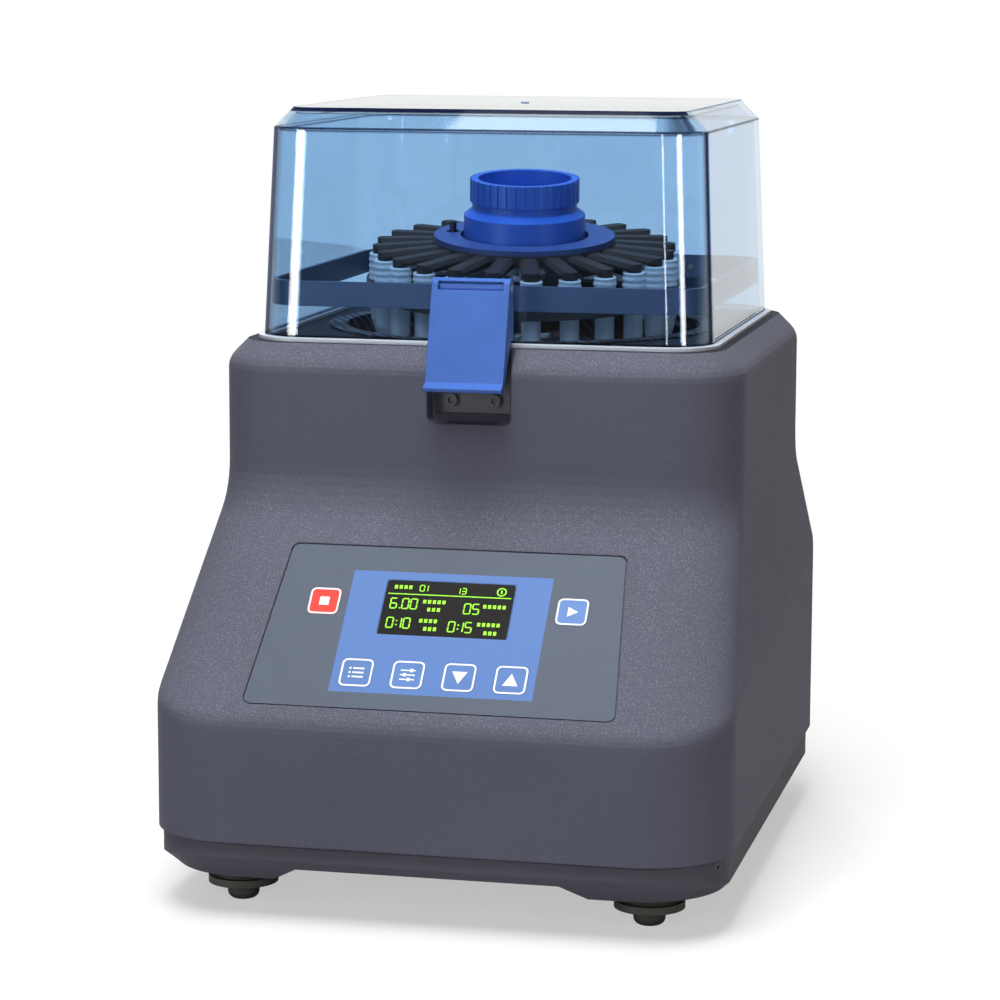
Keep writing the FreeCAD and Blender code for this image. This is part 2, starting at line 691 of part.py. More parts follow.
def make_housing():
    """The one-piece upper housing with its deck, slope, pockets and openings."""
    body = housing_body(0.0, SEAM_HEIGHT, DECK_HEIGHT)
    hollow = housing_body(HOUSING_WALL, SEAM_HEIGHT - HOUSING_WALL, DECK_HEIGHT - HOUSING_WALL)
    pocket_wall = latch_pocket(HOUSING_WALL)
    flange_top = SEAM_HEIGHT + SKIRT_FLANGE
    skirt = lower_prism(HOUSING_WALL / 2, SEAM_HEIGHT, flange_top)
    skirt = skirt.fuse(lower_prism(SKIRT_INSET, TRAY_FLOOR_TOP + SKIRT_GAP, flange_top))
    skirt = skirt.cut(lower_prism(SKIRT_INSET + HOUSING_WALL, TRAY_FLOOR_TOP, flange_top))
    shell = body.cut(hollow).multiFuse([pocket_wall.common(body), skirt]).removeSplitter()
    cuts = [latch_pocket(0.0)]
    cuts.append(rod(CHAMBER_RADIUS + CHAMBER_HOLE_GAP, Vec(0, UPPER_CENTRE_Y, DECK_HEIGHT - 3 * HOUSING_WALL),
                    Vec(0, UPPER_CENTRE_Y, DECK_HEIGHT + HOUSING_WALL)))
    cuts.append(on_slope(panel_blank(0.0, 2 * PANEL_RECESS), PANEL_TOP, -PANEL_RECESS))
    cuts.append(across(display_blank(-DISPLAY_LEDGE, KEY_CORNER, 3 * HOUSING_WALL), 0, DISPLAY_DOWN, -HOUSING_WALL))
    for _, _, x, down in key_places():
        stem = rod(KEY_STEM_RADIUS + KEY_STEM_CLEARANCE, Vec(), Z_AXIS * -3 * HOUSING_WALL)
        cuts.append(across(stem, x, down, -HOUSING_WALL))
    cuts.append(rear_opening(INLET_X, INLET_Z, INLET_FLANGE_WIDTH / 2, INLET_FLANGE_HEIGHT / 2, 3.0,
                             REAR_RECESS, HOUSING_WALL))
    cuts.append(rear_opening(INLET_X, INLET_Z, INLET_BODY_HALF, INLET_BODY_HEIGHT / 2, 2.0,
                             2 * HOUSING_WALL))
    cuts.append(rear_opening(SWITCH_X, SWITCH_Z, SWITCH_FLANGE_HALF_X, SWITCH_FLANGE_HALF_Z, 2.0,
                             REAR_RECESS, HOUSING_WALL))
    cuts.append(rear_opening(SWITCH_X, SWITCH_Z, SWITCH_BODY_HALF_X, SWITCH_BODY_HALF_Z, 1.0,
                             2 * HOUSING_WALL))
    cuts += grille_cut()
    for place, direction in hinge_base_screws():
        cuts.append(screw_hole(place, direction, 3 * HOUSING_WALL))
    for place, direction in keeper_screw_places():
        cuts.append(screw_hole(place, direction, 3 * HOUSING_WALL))
    for place, direction in tray_screw_places():
        cuts.append(screw_hole(place, direction, 3 * HOUSING_WALL, TRAY_SCREW_RADIUS))
    return shell.cut(cuts)


# Base tray and feet

def tray_crease(y):
    """The tray's crease drops round each front corner to the sides."""
    share = min(1.0, (y - LOWER_FRONT - TRAY_INSET) / (LOWER_CORNER - TRAY_INSET))
    return TRAY_FRONT_CREASE + share * (TRAY_SIDE_CREASE - TRAY_FRONT_CREASE)


def make_tray():
    """The base tray: a shallow dish with an undercut edge and a raised underside."""
    half = LOWER_WIDTH / 2 - TRAY_INSET
    front = LOWER_FRONT + TRAY_INSET
    rear = LOWER_REAR - TRAY_INSET
    corner = LOWER_CORNER - TRAY_INSET
    top = SEAM_HEIGHT - SEAM_GAP
    outlines = [
        rounded_points(half - TRAY_SIDE_UNDERCUT, front + TRAY_FRONT_UNDERCUT, rear - TRAY_SIDE_UNDERCUT,
                       corner, level(TRAY_BOTTOM)),
        rounded_points(half, front, rear, corner, tray_crease),
        rounded_points(half, front, rear, corner, level(top)),
    ]
    tray = ruled_solid(outlines)
    inside = rounded_points(half - TRAY_WALL, front + TRAY_WALL, rear - TRAY_WALL, corner - TRAY_WALL,
                            level(TRAY_FLOOR_TOP))
    tray = tray.cut(Part.Face(outline_wire(inside)).extrude(Z_AXIS * SEAM_HEIGHT))
    arch = [
        (-ARCH_HALF_WIDTH - ARCH_SLOPE, TRAY_BOTTOM), (-ARCH_HALF_WIDTH, ARCH_TOP),
        (ARCH_HALF_WIDTH, ARCH_TOP), (ARCH_HALF_WIDTH + ARCH_SLOPE, TRAY_BOTTOM),
    ]
    corners = [Vec(x, LOWER_FRONT, z) for x, z in arch]
    channel = Part.Face(Part.makePolygon(corners + corners[:1])).extrude(Y_AXIS * LOWER_DEPTH)
    cuts = [channel]
    for place, direction in tray_screw_places():
        cuts.append(head_hole(place, direction, TRAY_WALL, TRAY_SCREW_RADIUS))
        cuts.append(screw_hole(place, direction, 4 * TRAY_WALL, TRAY_SCREW_RADIUS))
    for x, y in foot_places():
        cuts.append(screw_hole(Vec(x, y, TRAY_BOTTOM), Z_AXIS, TRAY_FLOOR_TOP))
    for index in range(VENT_COUNT):
        x = (index - (VENT_COUNT - 1) / 2) * VENT_PITCH
        slot = rounded_block(VENT_WIDTH / 2, VENT_LENGTH / 2, VENT_WIDTH * 0.49, TRAY_FLOOR_TOP)
        slot.translate(Vec(x, VENT_CENTRE_Y, TRAY_BOTTOM))
        cuts.append(slot)
    return tray.cut(cuts)


def lower_prism(inset, floor, ceiling):
    """An upright block with the lower housing's outline, inset all round."""
    points = rounded_points(LOWER_WIDTH / 2 - inset, LOWER_FRONT + inset, LOWER_REAR - inset,
                            LOWER_CORNER - inset, level(floor))
    return Part.Face(outline_wire(points)).extrude(Z_AXIS * (ceiling - floor))


def foot_places():
    """The four feet's places under the tray."""
    return [(side * FOOT_X, end * FOOT_Y) for side in (-1, 1) for end in (-1, 1)]


def make_foot(x, y):
    """A rubber foot: a short stem with a rounded toe, bored for its screw."""
    blend = FOOT_RADIUS - FOOT_TOE_RADIUS
    foot = Part.makeCylinder(FOOT_RADIUS, FOOT_HEIGHT, Vec(x, y, 0))
    lowest = [edge for edge in foot.Edges if edge.BoundBox.ZMax < FOOT_HEIGHT / 2]
    foot = foot.makeFillet(blend, lowest)
    return foot.cut(rod(SCREW_RADIUS + SCREW_CLEARANCE, Vec(x, y, FOOT_HEIGHT / 2), Vec(x, y, FOOT_HEIGHT)))


def make_foot_disc(x, y):
    """The wide washer between a foot and the tray, with a boss up to the tray."""
    disc = Part.makeCylinder(FOOT_DISC_RADIUS, FOOT_DISC_THICKNESS, Vec(x, y, FOOT_HEIGHT))
    boss = Part.makeCone(FOOT_DISC_RADIUS - 3.0, FOOT_RADIUS + 3.0, TRAY_BOTTOM - FOOT_HEIGHT - FOOT_DISC_THICKNESS,
                         Vec(x, y, FOOT_HEIGHT + FOOT_DISC_THICKNESS))
    hole = rod(SCREW_RADIUS + SCREW_CLEARANCE, Vec(x, y, 0), Vec(x, y, TRAY_BOTTOM + 1))
    return disc.fuse(boss).cut(hole)


def make_foot_screw(x, y):
    """The stud that ties a foot to the tray, with its nut inside."""
    shank = rod(SCREW_RADIUS, Vec(x, y, FOOT_HEIGHT / 2), Vec(x, y, TRAY_FLOOR_TOP + 2 * SCREW_RADIUS))
    nut = rod(SCREW_HEAD_RADIUS, Vec(x, y, TRAY_FLOOR_TOP), Vec(x, y, TRAY_FLOOR_TOP + SCREW_HEAD_HEIGHT))
    return shank.fuse(nut)


# Lid, gasket and frame

def lid_outline(height, inset, corner):
    """The lid's outline at a height below its shoulder, inset by a wall."""
    lean = (height - LID_BOTTOM) * LID_SLOPE + inset
    half_depth = LID_BOTTOM_DEPTH / 2 - lean
    return rounded_points(LID_BOTTOM_WIDTH / 2 - lean, UPPER_CENTRE_Y - half_depth, UPPER_CENTRE_Y + half_depth,
                          corner, level(height))


def lid_top_outline(height, inset, corner):
    """The outline of the lid's top face, inside its chamfer."""
    lean = (LID_SHOULDER_HEIGHT - LID_BOTTOM) * LID_SLOPE + LID_CHAMFER + inset
    half_depth = LID_BOTTOM_DEPTH / 2 - lean
    return rounded_points(LID_BOTTOM_WIDTH / 2 - lean, UPPER_CENTRE_Y - half_depth, UPPER_CENTRE_Y + half_depth,
                          corner, level(height))


def make_lid():
    """The clear lid: drafted walls, a chamfer all round, open below."""
    top_corner = LID_CORNER - LID_CHAMFER
    outer = ruled_solid([
        lid_outline(LID_BOTTOM, 0, LID_CORNER),
        lid_outline(LID_SHOULDER_HEIGHT, 0, LID_CORNER),
        lid_top_outline(LID_TOP_HEIGHT, 0, top_corner),
    ])
    drop = LID_WALL * CHAMFER_FALL
    inner = ruled_solid([
        lid_outline(LID_BOTTOM - LID_WALL, LID_WALL, LID_CORNER - LID_WALL),
        lid_outline(LID_SHOULDER_HEIGHT - drop, LID_WALL, LID_CORNER - LID_WALL),
        lid_top_outline(LID_TOP_HEIGHT - LID_WALL, drop, top_corner - drop),
    ])
    mark = Part.makeCylinder(GATE_MARK_RADIUS, LID_WALL / 2 + GATE_MARK_HEIGHT,
                             Vec(0, UPPER_CENTRE_Y, LID_TOP_HEIGHT - LID_WALL / 2))
    lid = outer.cut(inner).fuse(mark)
    holes = [screw_hole(place, direction, 3 * LID_WALL) for place, direction in lid_screws()]
    return lid.cut(holes)


def make_lid_frame():
    """The band that stiffens the lid, following the inside of its drafted walls."""
    gap = LID_WALL + FRAME_GAP
    inner = gap + FRAME_THICKNESS
    heights = (FRAME_BOTTOM, FRAME_TOP)
    outer_solid = ruled_solid([lid_outline(height, gap, LID_CORNER - gap) for height in heights])
    reach = (FRAME_BOTTOM - 1, FRAME_TOP + 1)
    inner_solid = ruled_solid([lid_outline(height, inner, LID_CORNER - inner) for height in reach])
    holes = [screw_hole(place, direction, 4 * LID_WALL) for place, direction in lid_screws()]
    return outer_solid.cut(inner_solid).cut(holes)


def make_gasket():
    """The light ring on the deck that the lid closes on."""
    half_width = LID_BOTTOM_WIDTH / 2 + GASKET_MARGIN
    half_depth = LID_BOTTOM_DEPTH / 2 + GASKET_MARGIN
    rings = []
    for inset in (0, GASKET_WIDTH):
        points = rounded_points(half_width - inset, UPPER_CENTRE_Y - half_depth + inset,
                                UPPER_CENTRE_Y + half_depth - inset, LID_CORNER + GASKET_MARGIN - inset,
                                level(DECK_HEIGHT))
        rings.append(Part.Face(outline_wire(points)).extrude(Z_AXIS * GASKET_HEIGHT))
    return rings[0].cut(rings[1])


def lid_wall_y(height, side):
    """The outer face of the lid's front (-1) or rear (1) wall at a height."""
    return UPPER_CENTRE_Y + side * (LID_BOTTOM_DEPTH / 2 - (height - LID_BOTTOM) * LID_SLOPE)


def lid_screws():
    """The screws that hold the latch bracket and the hinge leaves to the lid and its frame."""
    height = (FRAME_BOTTOM + FRAME_TOP) / 2
    places = []
    for side in (-1, 1):
        front = lid_wall_y(height, -1) - FRAME_GAP - BRACKET_PLATE + SCREW_HEAD_HEIGHT
        places.append((Vec(side * BRACKET_SCREW_X, front, height), Y_AXIS))
        for offset in (-HINGE_SCREW_X, HINGE_SCREW_X):
            rear = lid_wall_y(height, 1) + FRAME_GAP + HINGE_PLATE + SCREW_HEAD_RADIUS * LID_SLOPE
            places.append((Vec(side * HINGE_X + offset, rear, height), Y_AXIS * -1))
    return places


# Hinge

def hinge_knuckle(start_x, end_x):
    """A knuckle on the hinge line with its bore."""
    centre_start = Vec(start_x, HINGE_Y, HINGE_Z)
    centre_end = Vec(end_x, HINGE_Y, HINGE_Z)
    return rod(HINGE_KNUCKLE_RADIUS, centre_start, centre_end)


def hinge_bore(centre_x):
    """The bore along a hinge, a running fit on its pin."""
    half = HINGE_WIDTH
    return rod(HINGE_PIN_RADIUS + HINGE_PIN_CLEARANCE, Vec(centre_x - half, HINGE_Y, HINGE_Z),
               Vec(centre_x + half, HINGE_Y, HINGE_Z))


def make_hinge_base(centre_x):
    """The fixed half: a plate on the rear wall that rises to two knuckles."""
    near = UPPER_REAR
    far = UPPER_REAR + HINGE_PLATE
    half = HINGE_WIDTH / 2
    plate = polygon_prism([
        (near, HINGE_PLATE_BOTTOM), (far, HINGE_PLATE_BOTTOM), (far, HINGE_Z - 2 * HINGE_KNUCKLE_RADIUS),
        (HINGE_Y + HINGE_KNUCKLE_RADIUS * 0.6, HINGE_Z - HINGE_KNUCKLE_RADIUS * 0.8),
        (HINGE_Y - HINGE_KNUCKLE_RADIUS * 0.6, HINGE_Z - HINGE_KNUCKLE_RADIUS * 0.8),
        (near, HINGE_Z - 2.6 * HINGE_KNUCKLE_RADIUS),
    ], centre_x - half, centre_x + half)
    notch_half = HINGE_WIDTH / 4
    radius = HINGE_KNUCKLE_RADIUS + HINGE_KNUCKLE_GAP
    notch = rod(radius, Vec(centre_x - notch_half, HINGE_Y, HINGE_Z), Vec(centre_x + notch_half, HINGE_Y, HINGE_Z))
    outer = [hinge_knuckle(centre_x - half, centre_x - notch_half),
             hinge_knuckle(centre_x + notch_half, centre_x + half)]
    base = fused([plate.cut(notch)] + outer).cut(hinge_bore(centre_x))
    holes = [screw_hole(place, direction, 3 * HINGE_PLATE) for place, direction in hinge_base_screws()]
    return base.cut(holes)


def make_hinge_leaf(centre_x):
    """The moving half: a plate on the lid's rear wall with an arm back to one knuckle."""
    arm_bottom = HINGE_Z - HINGE_PLATE / 2
    arm_top = HINGE_Z + HINGE_PLATE / 2
    half = HINGE_WIDTH / 2
    wall_low = lid_wall_y(arm_bottom, 1) + FRAME_GAP
    wall_high = lid_wall_y(HINGE_LEAF_TOP, 1) + FRAME_GAP
    plate = polygon_prism([
        (wall_low, arm_bottom), (wall_low + HINGE_PLATE, arm_bottom),
        (wall_high + HINGE_PLATE, HINGE_LEAF_TOP), (wall_high, HINGE_LEAF_TOP),
    ], centre_x - half, centre_x + half)
    knuckle_half = HINGE_WIDTH / 4 - HINGE_KNUCKLE_GAP
    arm = box((centre_x - knuckle_half, centre_x + knuckle_half), (wall_low + HINGE_PLATE / 2, HINGE_Y),
              (arm_bottom, arm_top))
    knuckle = hinge_knuckle(centre_x - knuckle_half, centre_x + knuckle_half)
    leaf = fused([plate, arm, knuckle]).cut(hinge_bore(centre_x))
    holes = [screw_hole(place, direction, 3 * HINGE_PLATE) for place, direction in lid_screws()]
    return leaf.cut(holes)


def hinge_base_screws():
    """The screws through both hinge bases into the rear wall."""
    height = HINGE_PLATE_BOTTOM + 2 * SCREW_HEAD_RADIUS
    return [(Vec(side * HINGE_X + offset, UPPER_REAR + HINGE_PLATE, height), Y_AXIS * -1)
            for side in (-1, 1) for offset in (-HINGE_SCREW_X, HINGE_SCREW_X)]


# Latch

def lever_point(along, out):
    """A (y, z) place on the leaning lever: down its length from the pin, and outwards."""
    lean = math.radians(LEVER_LEAN)
    y = LATCH_PIN_Y - along * math.sin(lean) - out * math.cos(lean)
    z = LATCH_PIN_Z - along * math.cos(lean) + out * math.sin(lean)
    return (y, z)


def latch_axis_rod(radius, half_length):
    """A rod along the latch's pin line."""
    return rod(radius, Vec(-half_length, LATCH_PIN_Y, LATCH_PIN_Z), Vec(half_length, LATCH_PIN_Y, LATCH_PIN_Z))


def window_bar(radius, half_length):
    """A wedge of a rod on the pin line: the part of it between the bar's two angles, above and in front."""
    reach = 2 * radius
    corners = [(LATCH_PIN_Y, LATCH_PIN_Z)]
    for angle in (BAR_START, BAR_END):
        turn = math.radians(angle)
        corners.append((LATCH_PIN_Y - reach * math.sin(turn), LATCH_PIN_Z + reach * math.cos(turn)))
    return polygon_prism(corners, -half_length, half_length).common(latch_axis_rod(radius, half_length))


def make_lever():
    """The latch lever: a channel with two deep cheeks, a slot over the barrel, a hook inside and a lip below."""
    half = LEVER_WIDTH / 2
    inner_half = half - LEVER_CHEEK
    inner_face = LEVER_FACE - LEVER_THICKNESS
    front = polygon_prism([
        lever_point(WINDOW_BOTTOM, inner_face), lever_point(WINDOW_BOTTOM, LEVER_FACE),
        lever_point(LEVER_LENGTH - LEVER_LIP_LENGTH, LEVER_FACE),
        lever_point(LEVER_LENGTH, LEVER_FACE + LEVER_LIP_REACH),
        lever_point(LEVER_LENGTH + LEVER_THICKNESS / 2, LEVER_FACE + LEVER_LIP_REACH - LEVER_THICKNESS / 2),
        lever_point(LEVER_LENGTH - LEVER_LIP_LENGTH + LEVER_THICKNESS, inner_face),
    ], -half, half)
    cheek_profile = [
        lever_point(0, LEVER_FACE), lever_point(LEVER_LENGTH - LEVER_LIP_LENGTH, LEVER_FACE),
        lever_point(LEVER_LENGTH - LEVER_LIP_LENGTH, inner_face), lever_point(CHEEK_TOE, -CHEEK_TOE_REACH),
        lever_point(CHEEK_KNEE, -CHEEK_KNEE_REACH), lever_point(CHEEK_HEEL, -CHEEK_HEEL_REACH),
        lever_point(0, -LEVER_FACE),
    ]
    pieces = [front, window_bar(LEVER_FACE, half)]
    for start, end in ((-half, -inner_half), (inner_half, half)):
        pieces.append(polygon_prism(cheek_profile, start, end))
        pieces.append(rod(LEVER_FACE, Vec(start, LATCH_PIN_Y, LATCH_PIN_Z), Vec(end, LATCH_PIN_Y, LATCH_PIN_Z)))
    hook_start_y = lever_point(LATCH_PIN_Z - HOOK_TOP, inner_face)[0]
    pieces.append(box((-HOOK_HALF_WIDTH, HOOK_HALF_WIDTH), (hook_start_y - 1, HOOK_END_Y),
                      (HOOK_TOP - HOOK_THICKNESS, HOOK_TOP)))
    lever = fused(pieces)
    room = latch_axis_rod(BARREL_RADIUS + BARREL_GAP, inner_half)
    return lever.cut([room, latch_axis_rod(LATCH_PIN_RADIUS + LATCH_PIN_CLEARANCE, half + 1)])


def make_bracket():
    """The latch bracket: a plate on the lid with a barrel round the pin, held from below."""
    half = LEVER_WIDTH / 2 - LEVER_CHEEK - BARREL_GAP
    top = LATCH_PIN_Z + BARREL_RADIUS
    wall_low = lid_wall_y(BRACKET_BOTTOM, -1) - FRAME_GAP
    wall_high = lid_wall_y(top, -1) - FRAME_GAP
    plate = polygon_prism([
        (wall_low, BRACKET_BOTTOM), (wall_high, top),
        (wall_high - BRACKET_PLATE, top), (wall_low - BRACKET_PLATE, BRACKET_BOTTOM),
    ], -half, half)
    neck = box((-half, half), (LATCH_PIN_Y, wall_high - BRACKET_PLATE / 2),
               (LATCH_PIN_Z - BARREL_RADIUS, LATCH_PIN_Z - BARREL_RADIUS * NECK_DROP))
    bracket = fused([plate, neck, latch_axis_rod(BARREL_RADIUS, half)])
    cuts = [latch_axis_rod(LATCH_PIN_RADIUS, half + 1)]
    for place, direction in lid_screws():
        cuts.append(screw_hole(place, direction, 3 * BRACKET_PLATE))
        if direction.y > 0:
            cuts.append(head_hole(place, direction, BRACKET_PLATE))
    return bracket.cut(cuts)


def keeper_screw_places():
    """The screws that hold the keeper in its recess."""
    front = RECESS_FLOOR_Y - KEEPER_PLATE
    return [(Vec(side * KEEPER_SCREW_X, front, KEEPER_SCREW_Z), Y_AXIS) for side in (-1, 1)]


def make_keeper():
    """The steel keeper: a plate on the recess floor with a tab over the lever's hook."""
    front = RECESS_FLOOR_Y - KEEPER_PLATE
    plate = box((-KEEPER_HALF_WIDTH, KEEPER_HALF_WIDTH), (front, RECESS_FLOOR_Y), (KEEPER_BOTTOM, KEEPER_TOP))
    tab = box((-HOOK_HALF_WIDTH, HOOK_HALF_WIDTH), (front - KEEPER_TAB_REACH, front + KEEPER_PLATE / 2),
              (KEEPER_TAB_BOTTOM, KEEPER_TAB_BOTTOM + KEEPER_PLATE))
    holes = [screw_hole(place, direction, 3 * KEEPER_PLATE) for place, direction in keeper_screw_places()]
    return fused([plate, tab]).cut(holes)


# Control panel

def make_overlay():
    """The panel's membrane with openings for the display and the keys."""
    overlay = panel_blank(-PANEL_GROOVE, PANEL_RECESS - OVERLAY_SINK)
    overlay = on_slope(overlay, PANEL_TOP, OVERLAY_SINK)
    cuts = [across(display_blank(KEY_GAP, DISPLAY_CORNER, 2 * PANEL_RECESS), 0, DISPLAY_DOWN, -PANEL_RECESS / 2)]
    for _, size, x, down in key_places():
        cuts.append(across(key_blank(size, KEY_GAP, 3 * PANEL_RECESS), x, down, -PANEL_RECESS))
    return overlay.cut(cuts)


def make_key(size, x, down):
    """A key: a thin rounded cap with a stem through the wall to its switch."""
    cap = key_blank(size, 0.0, KEY_THICKNESS)
    stem = rod(KEY_STEM_RADIUS, Vec(), Z_AXIS * -(BOARD_DEPTH - SWITCH_HEIGHT - KEY_TRAVEL - KEY_GAP / 2))
    return across(cap.fuse(stem).removeSplitter(), x, down)


def make_display_window():
    """The display's flat lens, flush in the overlay."""
    lens = display_blank(0.0, DISPLAY_CORNER, PANEL_RECESS - OVERLAY_SINK)
    return across(lens, 0, DISPLAY_DOWN, OVERLAY_SINK)


def make_display_module():
    """The display behind its opening, between the wall and the board."""
    half_height = (DISPLAY_BOTTOM - DISPLAY_TOP) / 2
    module = rounded_block(DISPLAY_HALF_WIDTH + DISPLAY_LEDGE, half_height, DISPLAY_CORNER,
                           -(BOARD_DEPTH - HOUSING_WALL))
    return across(module, 0, DISPLAY_DOWN, HOUSING_WALL)


def board_posts():
    """The places of the posts that carry the control board."""
    half = BOARD_HALF_WIDTH - BOARD_POST_INSET
    return [(side * half, down) for side in (-1, 1)
            for down in (BOARD_TOP + BOARD_POST_INSET, BOARD_BOTTOM - BOARD_POST_INSET)]


def make_control_board():
    """The board behind the panel."""
    centre = (BOARD_TOP + BOARD_BOTTOM) / 2
    board = rounded_block(BOARD_HALF_WIDTH, (BOARD_BOTTOM - BOARD_TOP) / 2, KEY_CORNER, -BOARD_THICKNESS)
    return across(board, 0, centre, BOARD_DEPTH)


def make_board_posts():
    """Spacers from the wall's inner face to the board."""
    post = rod(BOARD_POST_RADIUS, Vec(), Z_AXIS * -(BOARD_DEPTH - HOUSING_WALL))
    return [across(post, x, down, HOUSING_WALL) for x, down in board_posts()]


def make_key_switches():
    """One small switch on the board under each key."""
    half = SWITCH_SIZE / 2
    body = rounded_block(half, half, KEY_GAP, -SWITCH_HEIGHT)
    return [across(body, x, down, BOARD_DEPTH - SWITCH_HEIGHT) for _, _, x, down in key_places()]


# Chamber and drive

def make_chamber():
    """The bowl under the lid: a flange on the deck, a round wall, a floor and a collar."""
    inner = CHAMBER_RADIUS - CHAMBER_WALL
    floor = CHAMBER_FLOOR
    top = DECK_HEIGHT + CHAMBER_FLANGE_HEIGHT
    collar = CHAMBER_COLLAR_RADIUS
    collar_top = floor + CHAMBER_COLLAR_HEIGHT
    return revolved([
        (CHAMBER_RADIUS + CHAMBER_FLANGE, DECK_HEIGHT), (CHAMBER_RADIUS + CHAMBER_FLANGE, top),
        (inner, top), (inner, floor + CHAMBER_CORNER), (inner - CHAMBER_CORNER, floor),
        (collar + CHAMBER_WALL, floor), (collar + CHAMBER_WALL, collar_top), (collar, collar_top),
        (collar, floor - CHAMBER_WALL), (CHAMBER_RADIUS - CHAMBER_CORNER, floor - CHAMBER_WALL),
        (CHAMBER_RADIUS, floor + CHAMBER_CORNER - CHAMBER_WALL), (CHAMBER_RADIUS, DECK_HEIGHT),
    ], 0, UPPER_CENTRE_Y)


def tilted(shape):
    """Tilt an upright rotor piece about the swash centre, low side towards the rest angle."""
    centre = Vec(0, UPPER_CENTRE_Y, SWASH_HEIGHT)
    turn = math.radians(SWASH_TURN)
    moved = shape.copy()
    moved.rotate(centre, Vec(math.cos(turn), math.sin(turn), 0), SWASH_TILT)
    return moved


def rotor_rod(radius, bottom, top):
    """An upright rod on the rotor's axis."""
    return rod(radius, Vec(0, UPPER_CENTRE_Y, bottom), Vec(0, UPPER_CENTRE_Y, top))


def ring_places(radius, count):
    """Places round the rotor, the first at the front."""
    places = []
    for index in range(count):
        angle = math.radians(360.0 * index / count)
        places.append(Vec(radius * math.sin(angle), UPPER_CENTRE_Y - radius * math.cos(angle), 0))
    return places


def make_holder():
    """The tube holder: a rim with a hole for each tube, ribs and a deep hub."""
    plate = rotor_rod(HOLDER_RIM_RADIUS, HOLDER_BOTTOM, HOLDER_TOP)
    hub = rotor_rod(HOLDER_HUB_RADIUS, HOLDER_HUB_BOTTOM, HOLDER_TOP)
    ring = rotor_rod(HOLDER_WINDOW_OUTER, HOLDER_BOTTOM - 1, HOLDER_TOP + 1)
    ring = ring.cut(rotor_rod(HOLDER_WINDOW_INNER, HOLDER_BOTTOM - 2, HOLDER_TOP + 2))
    ribs = []
    for index in range(HOLDER_RIB_COUNT):
        rib = box((-HOLDER_RIB / 2, HOLDER_RIB / 2), (0, HOLDER_RIM_RADIUS), (HOLDER_BOTTOM - 1, HOLDER_TOP + 1))
        rib.rotate(Vec(), Z_AXIS, 360.0 * (index + 0.5) / HOLDER_RIB_COUNT)
        rib.translate(Vec(0, UPPER_CENTRE_Y, 0))
        ribs.append(rib)
    windows = ring.cut(ribs)
    holder = fused([plate, hub]).cut(windows)
    holes = []
    for place in ring_places(TUBE_CIRCLE_RADIUS, TUBE_COUNT):
        holes.append(rod(TUBE_RADIUS + TUBE_HOLE_CLEARANCE, place + Z_AXIS * (HOLDER_BOTTOM - 1),
                         place + Z_AXIS * (HOLDER_TOP + 1)))
    holes.append(rotor_rod(BEARING_OUTER_RADIUS, HOLDER_HUB_BOTTOM - 1, JOURNAL_TOP + 1))
    holes.append(rotor_rod(STUD_RADIUS, HOLDER_HUB_BOTTOM, HOLDER_TOP + 1))
    holes.append(guide_pin_rod())
    return tilted(holder.cut(holes))


def guide_pin_rod():
    """The radial pin at the rear of the hub, at the swash centre's height."""
    return rod(GUIDE_PIN_RADIUS, Vec(0, UPPER_CENTRE_Y + BEARING_OUTER_RADIUS, SWASH_HEIGHT),
               Vec(0, UPPER_CENTRE_Y + GUIDE_PIN_END, SWASH_HEIGHT))


def make_bearings():
    """The bearings between the holder's hub and the swash journal."""
    bearings = []
    for index in range(BEARING_COUNT):
        bottom = JOURNAL_TOP - (BEARING_COUNT - index) * BEARING_HEIGHT
        ring = rotor_rod(BEARING_OUTER_RADIUS, bottom, bottom + BEARING_HEIGHT)
        bearings.append(tilted(ring.cut(rotor_rod(JOURNAL_RADIUS + BEARING_CLEARANCE, bottom - 1,
                                                  bottom + BEARING_HEIGHT + 1))))
    return bearings


def make_tube(place):
    """One sample tube: a straight wall and a tapered tip, open at the top."""
    outer = [
        (0, TUBE_BOTTOM), (TUBE_TIP_RADIUS, TUBE_BOTTOM), (TUBE_RADIUS, TUBE_BOTTOM + TUBE_TIP_LENGTH),
        (TUBE_RADIUS, TUBE_TOP), (TUBE_RADIUS - TUBE_WALL, TUBE_TOP),
        (TUBE_RADIUS - TUBE_WALL, TUBE_BOTTOM + TUBE_TIP_LENGTH), (TUBE_TIP_RADIUS / 2, TUBE_BOTTOM + TUBE_WALL),
        (0, TUBE_BOTTOM + TUBE_WALL),
    ]
    return tilted(revolved(outer, place.x, place.y))


def make_cap(place):
    """One screw cap: its skirt rests on the holder's rim."""
    wall = CAP_RADIUS - TUBE_RADIUS + TUBE_WALL
    profile = [
        (0, CAP_TOP), (CAP_RADIUS - 0.6, CAP_TOP), (CAP_RADIUS, CAP_TOP - 0.6), (CAP_RADIUS, HOLDER_TOP),
        (TUBE_RADIUS, HOLDER_TOP), (TUBE_RADIUS, TUBE_TOP), (CAP_RADIUS - wall, TUBE_TOP),
        (CAP_RADIUS - wall, CAP_TOP - TUBE_WALL), (0, CAP_TOP - TUBE_WALL),
    ]
    return tilted(revolved(profile, place.x, place.y))


def make_stud():
    """The clamping stud that stands on the holder's hub."""
    foot = rotor_rod(STUD_FOOT_RADIUS, HOLDER_TOP, HOLDER_TOP + STUD_FOOT_HEIGHT)
    stud = rotor_rod(STUD_RADIUS, JOURNAL_TOP + 1, STUD_TOP)
    return tilted(foot.fuse(stud).removeSplitter())


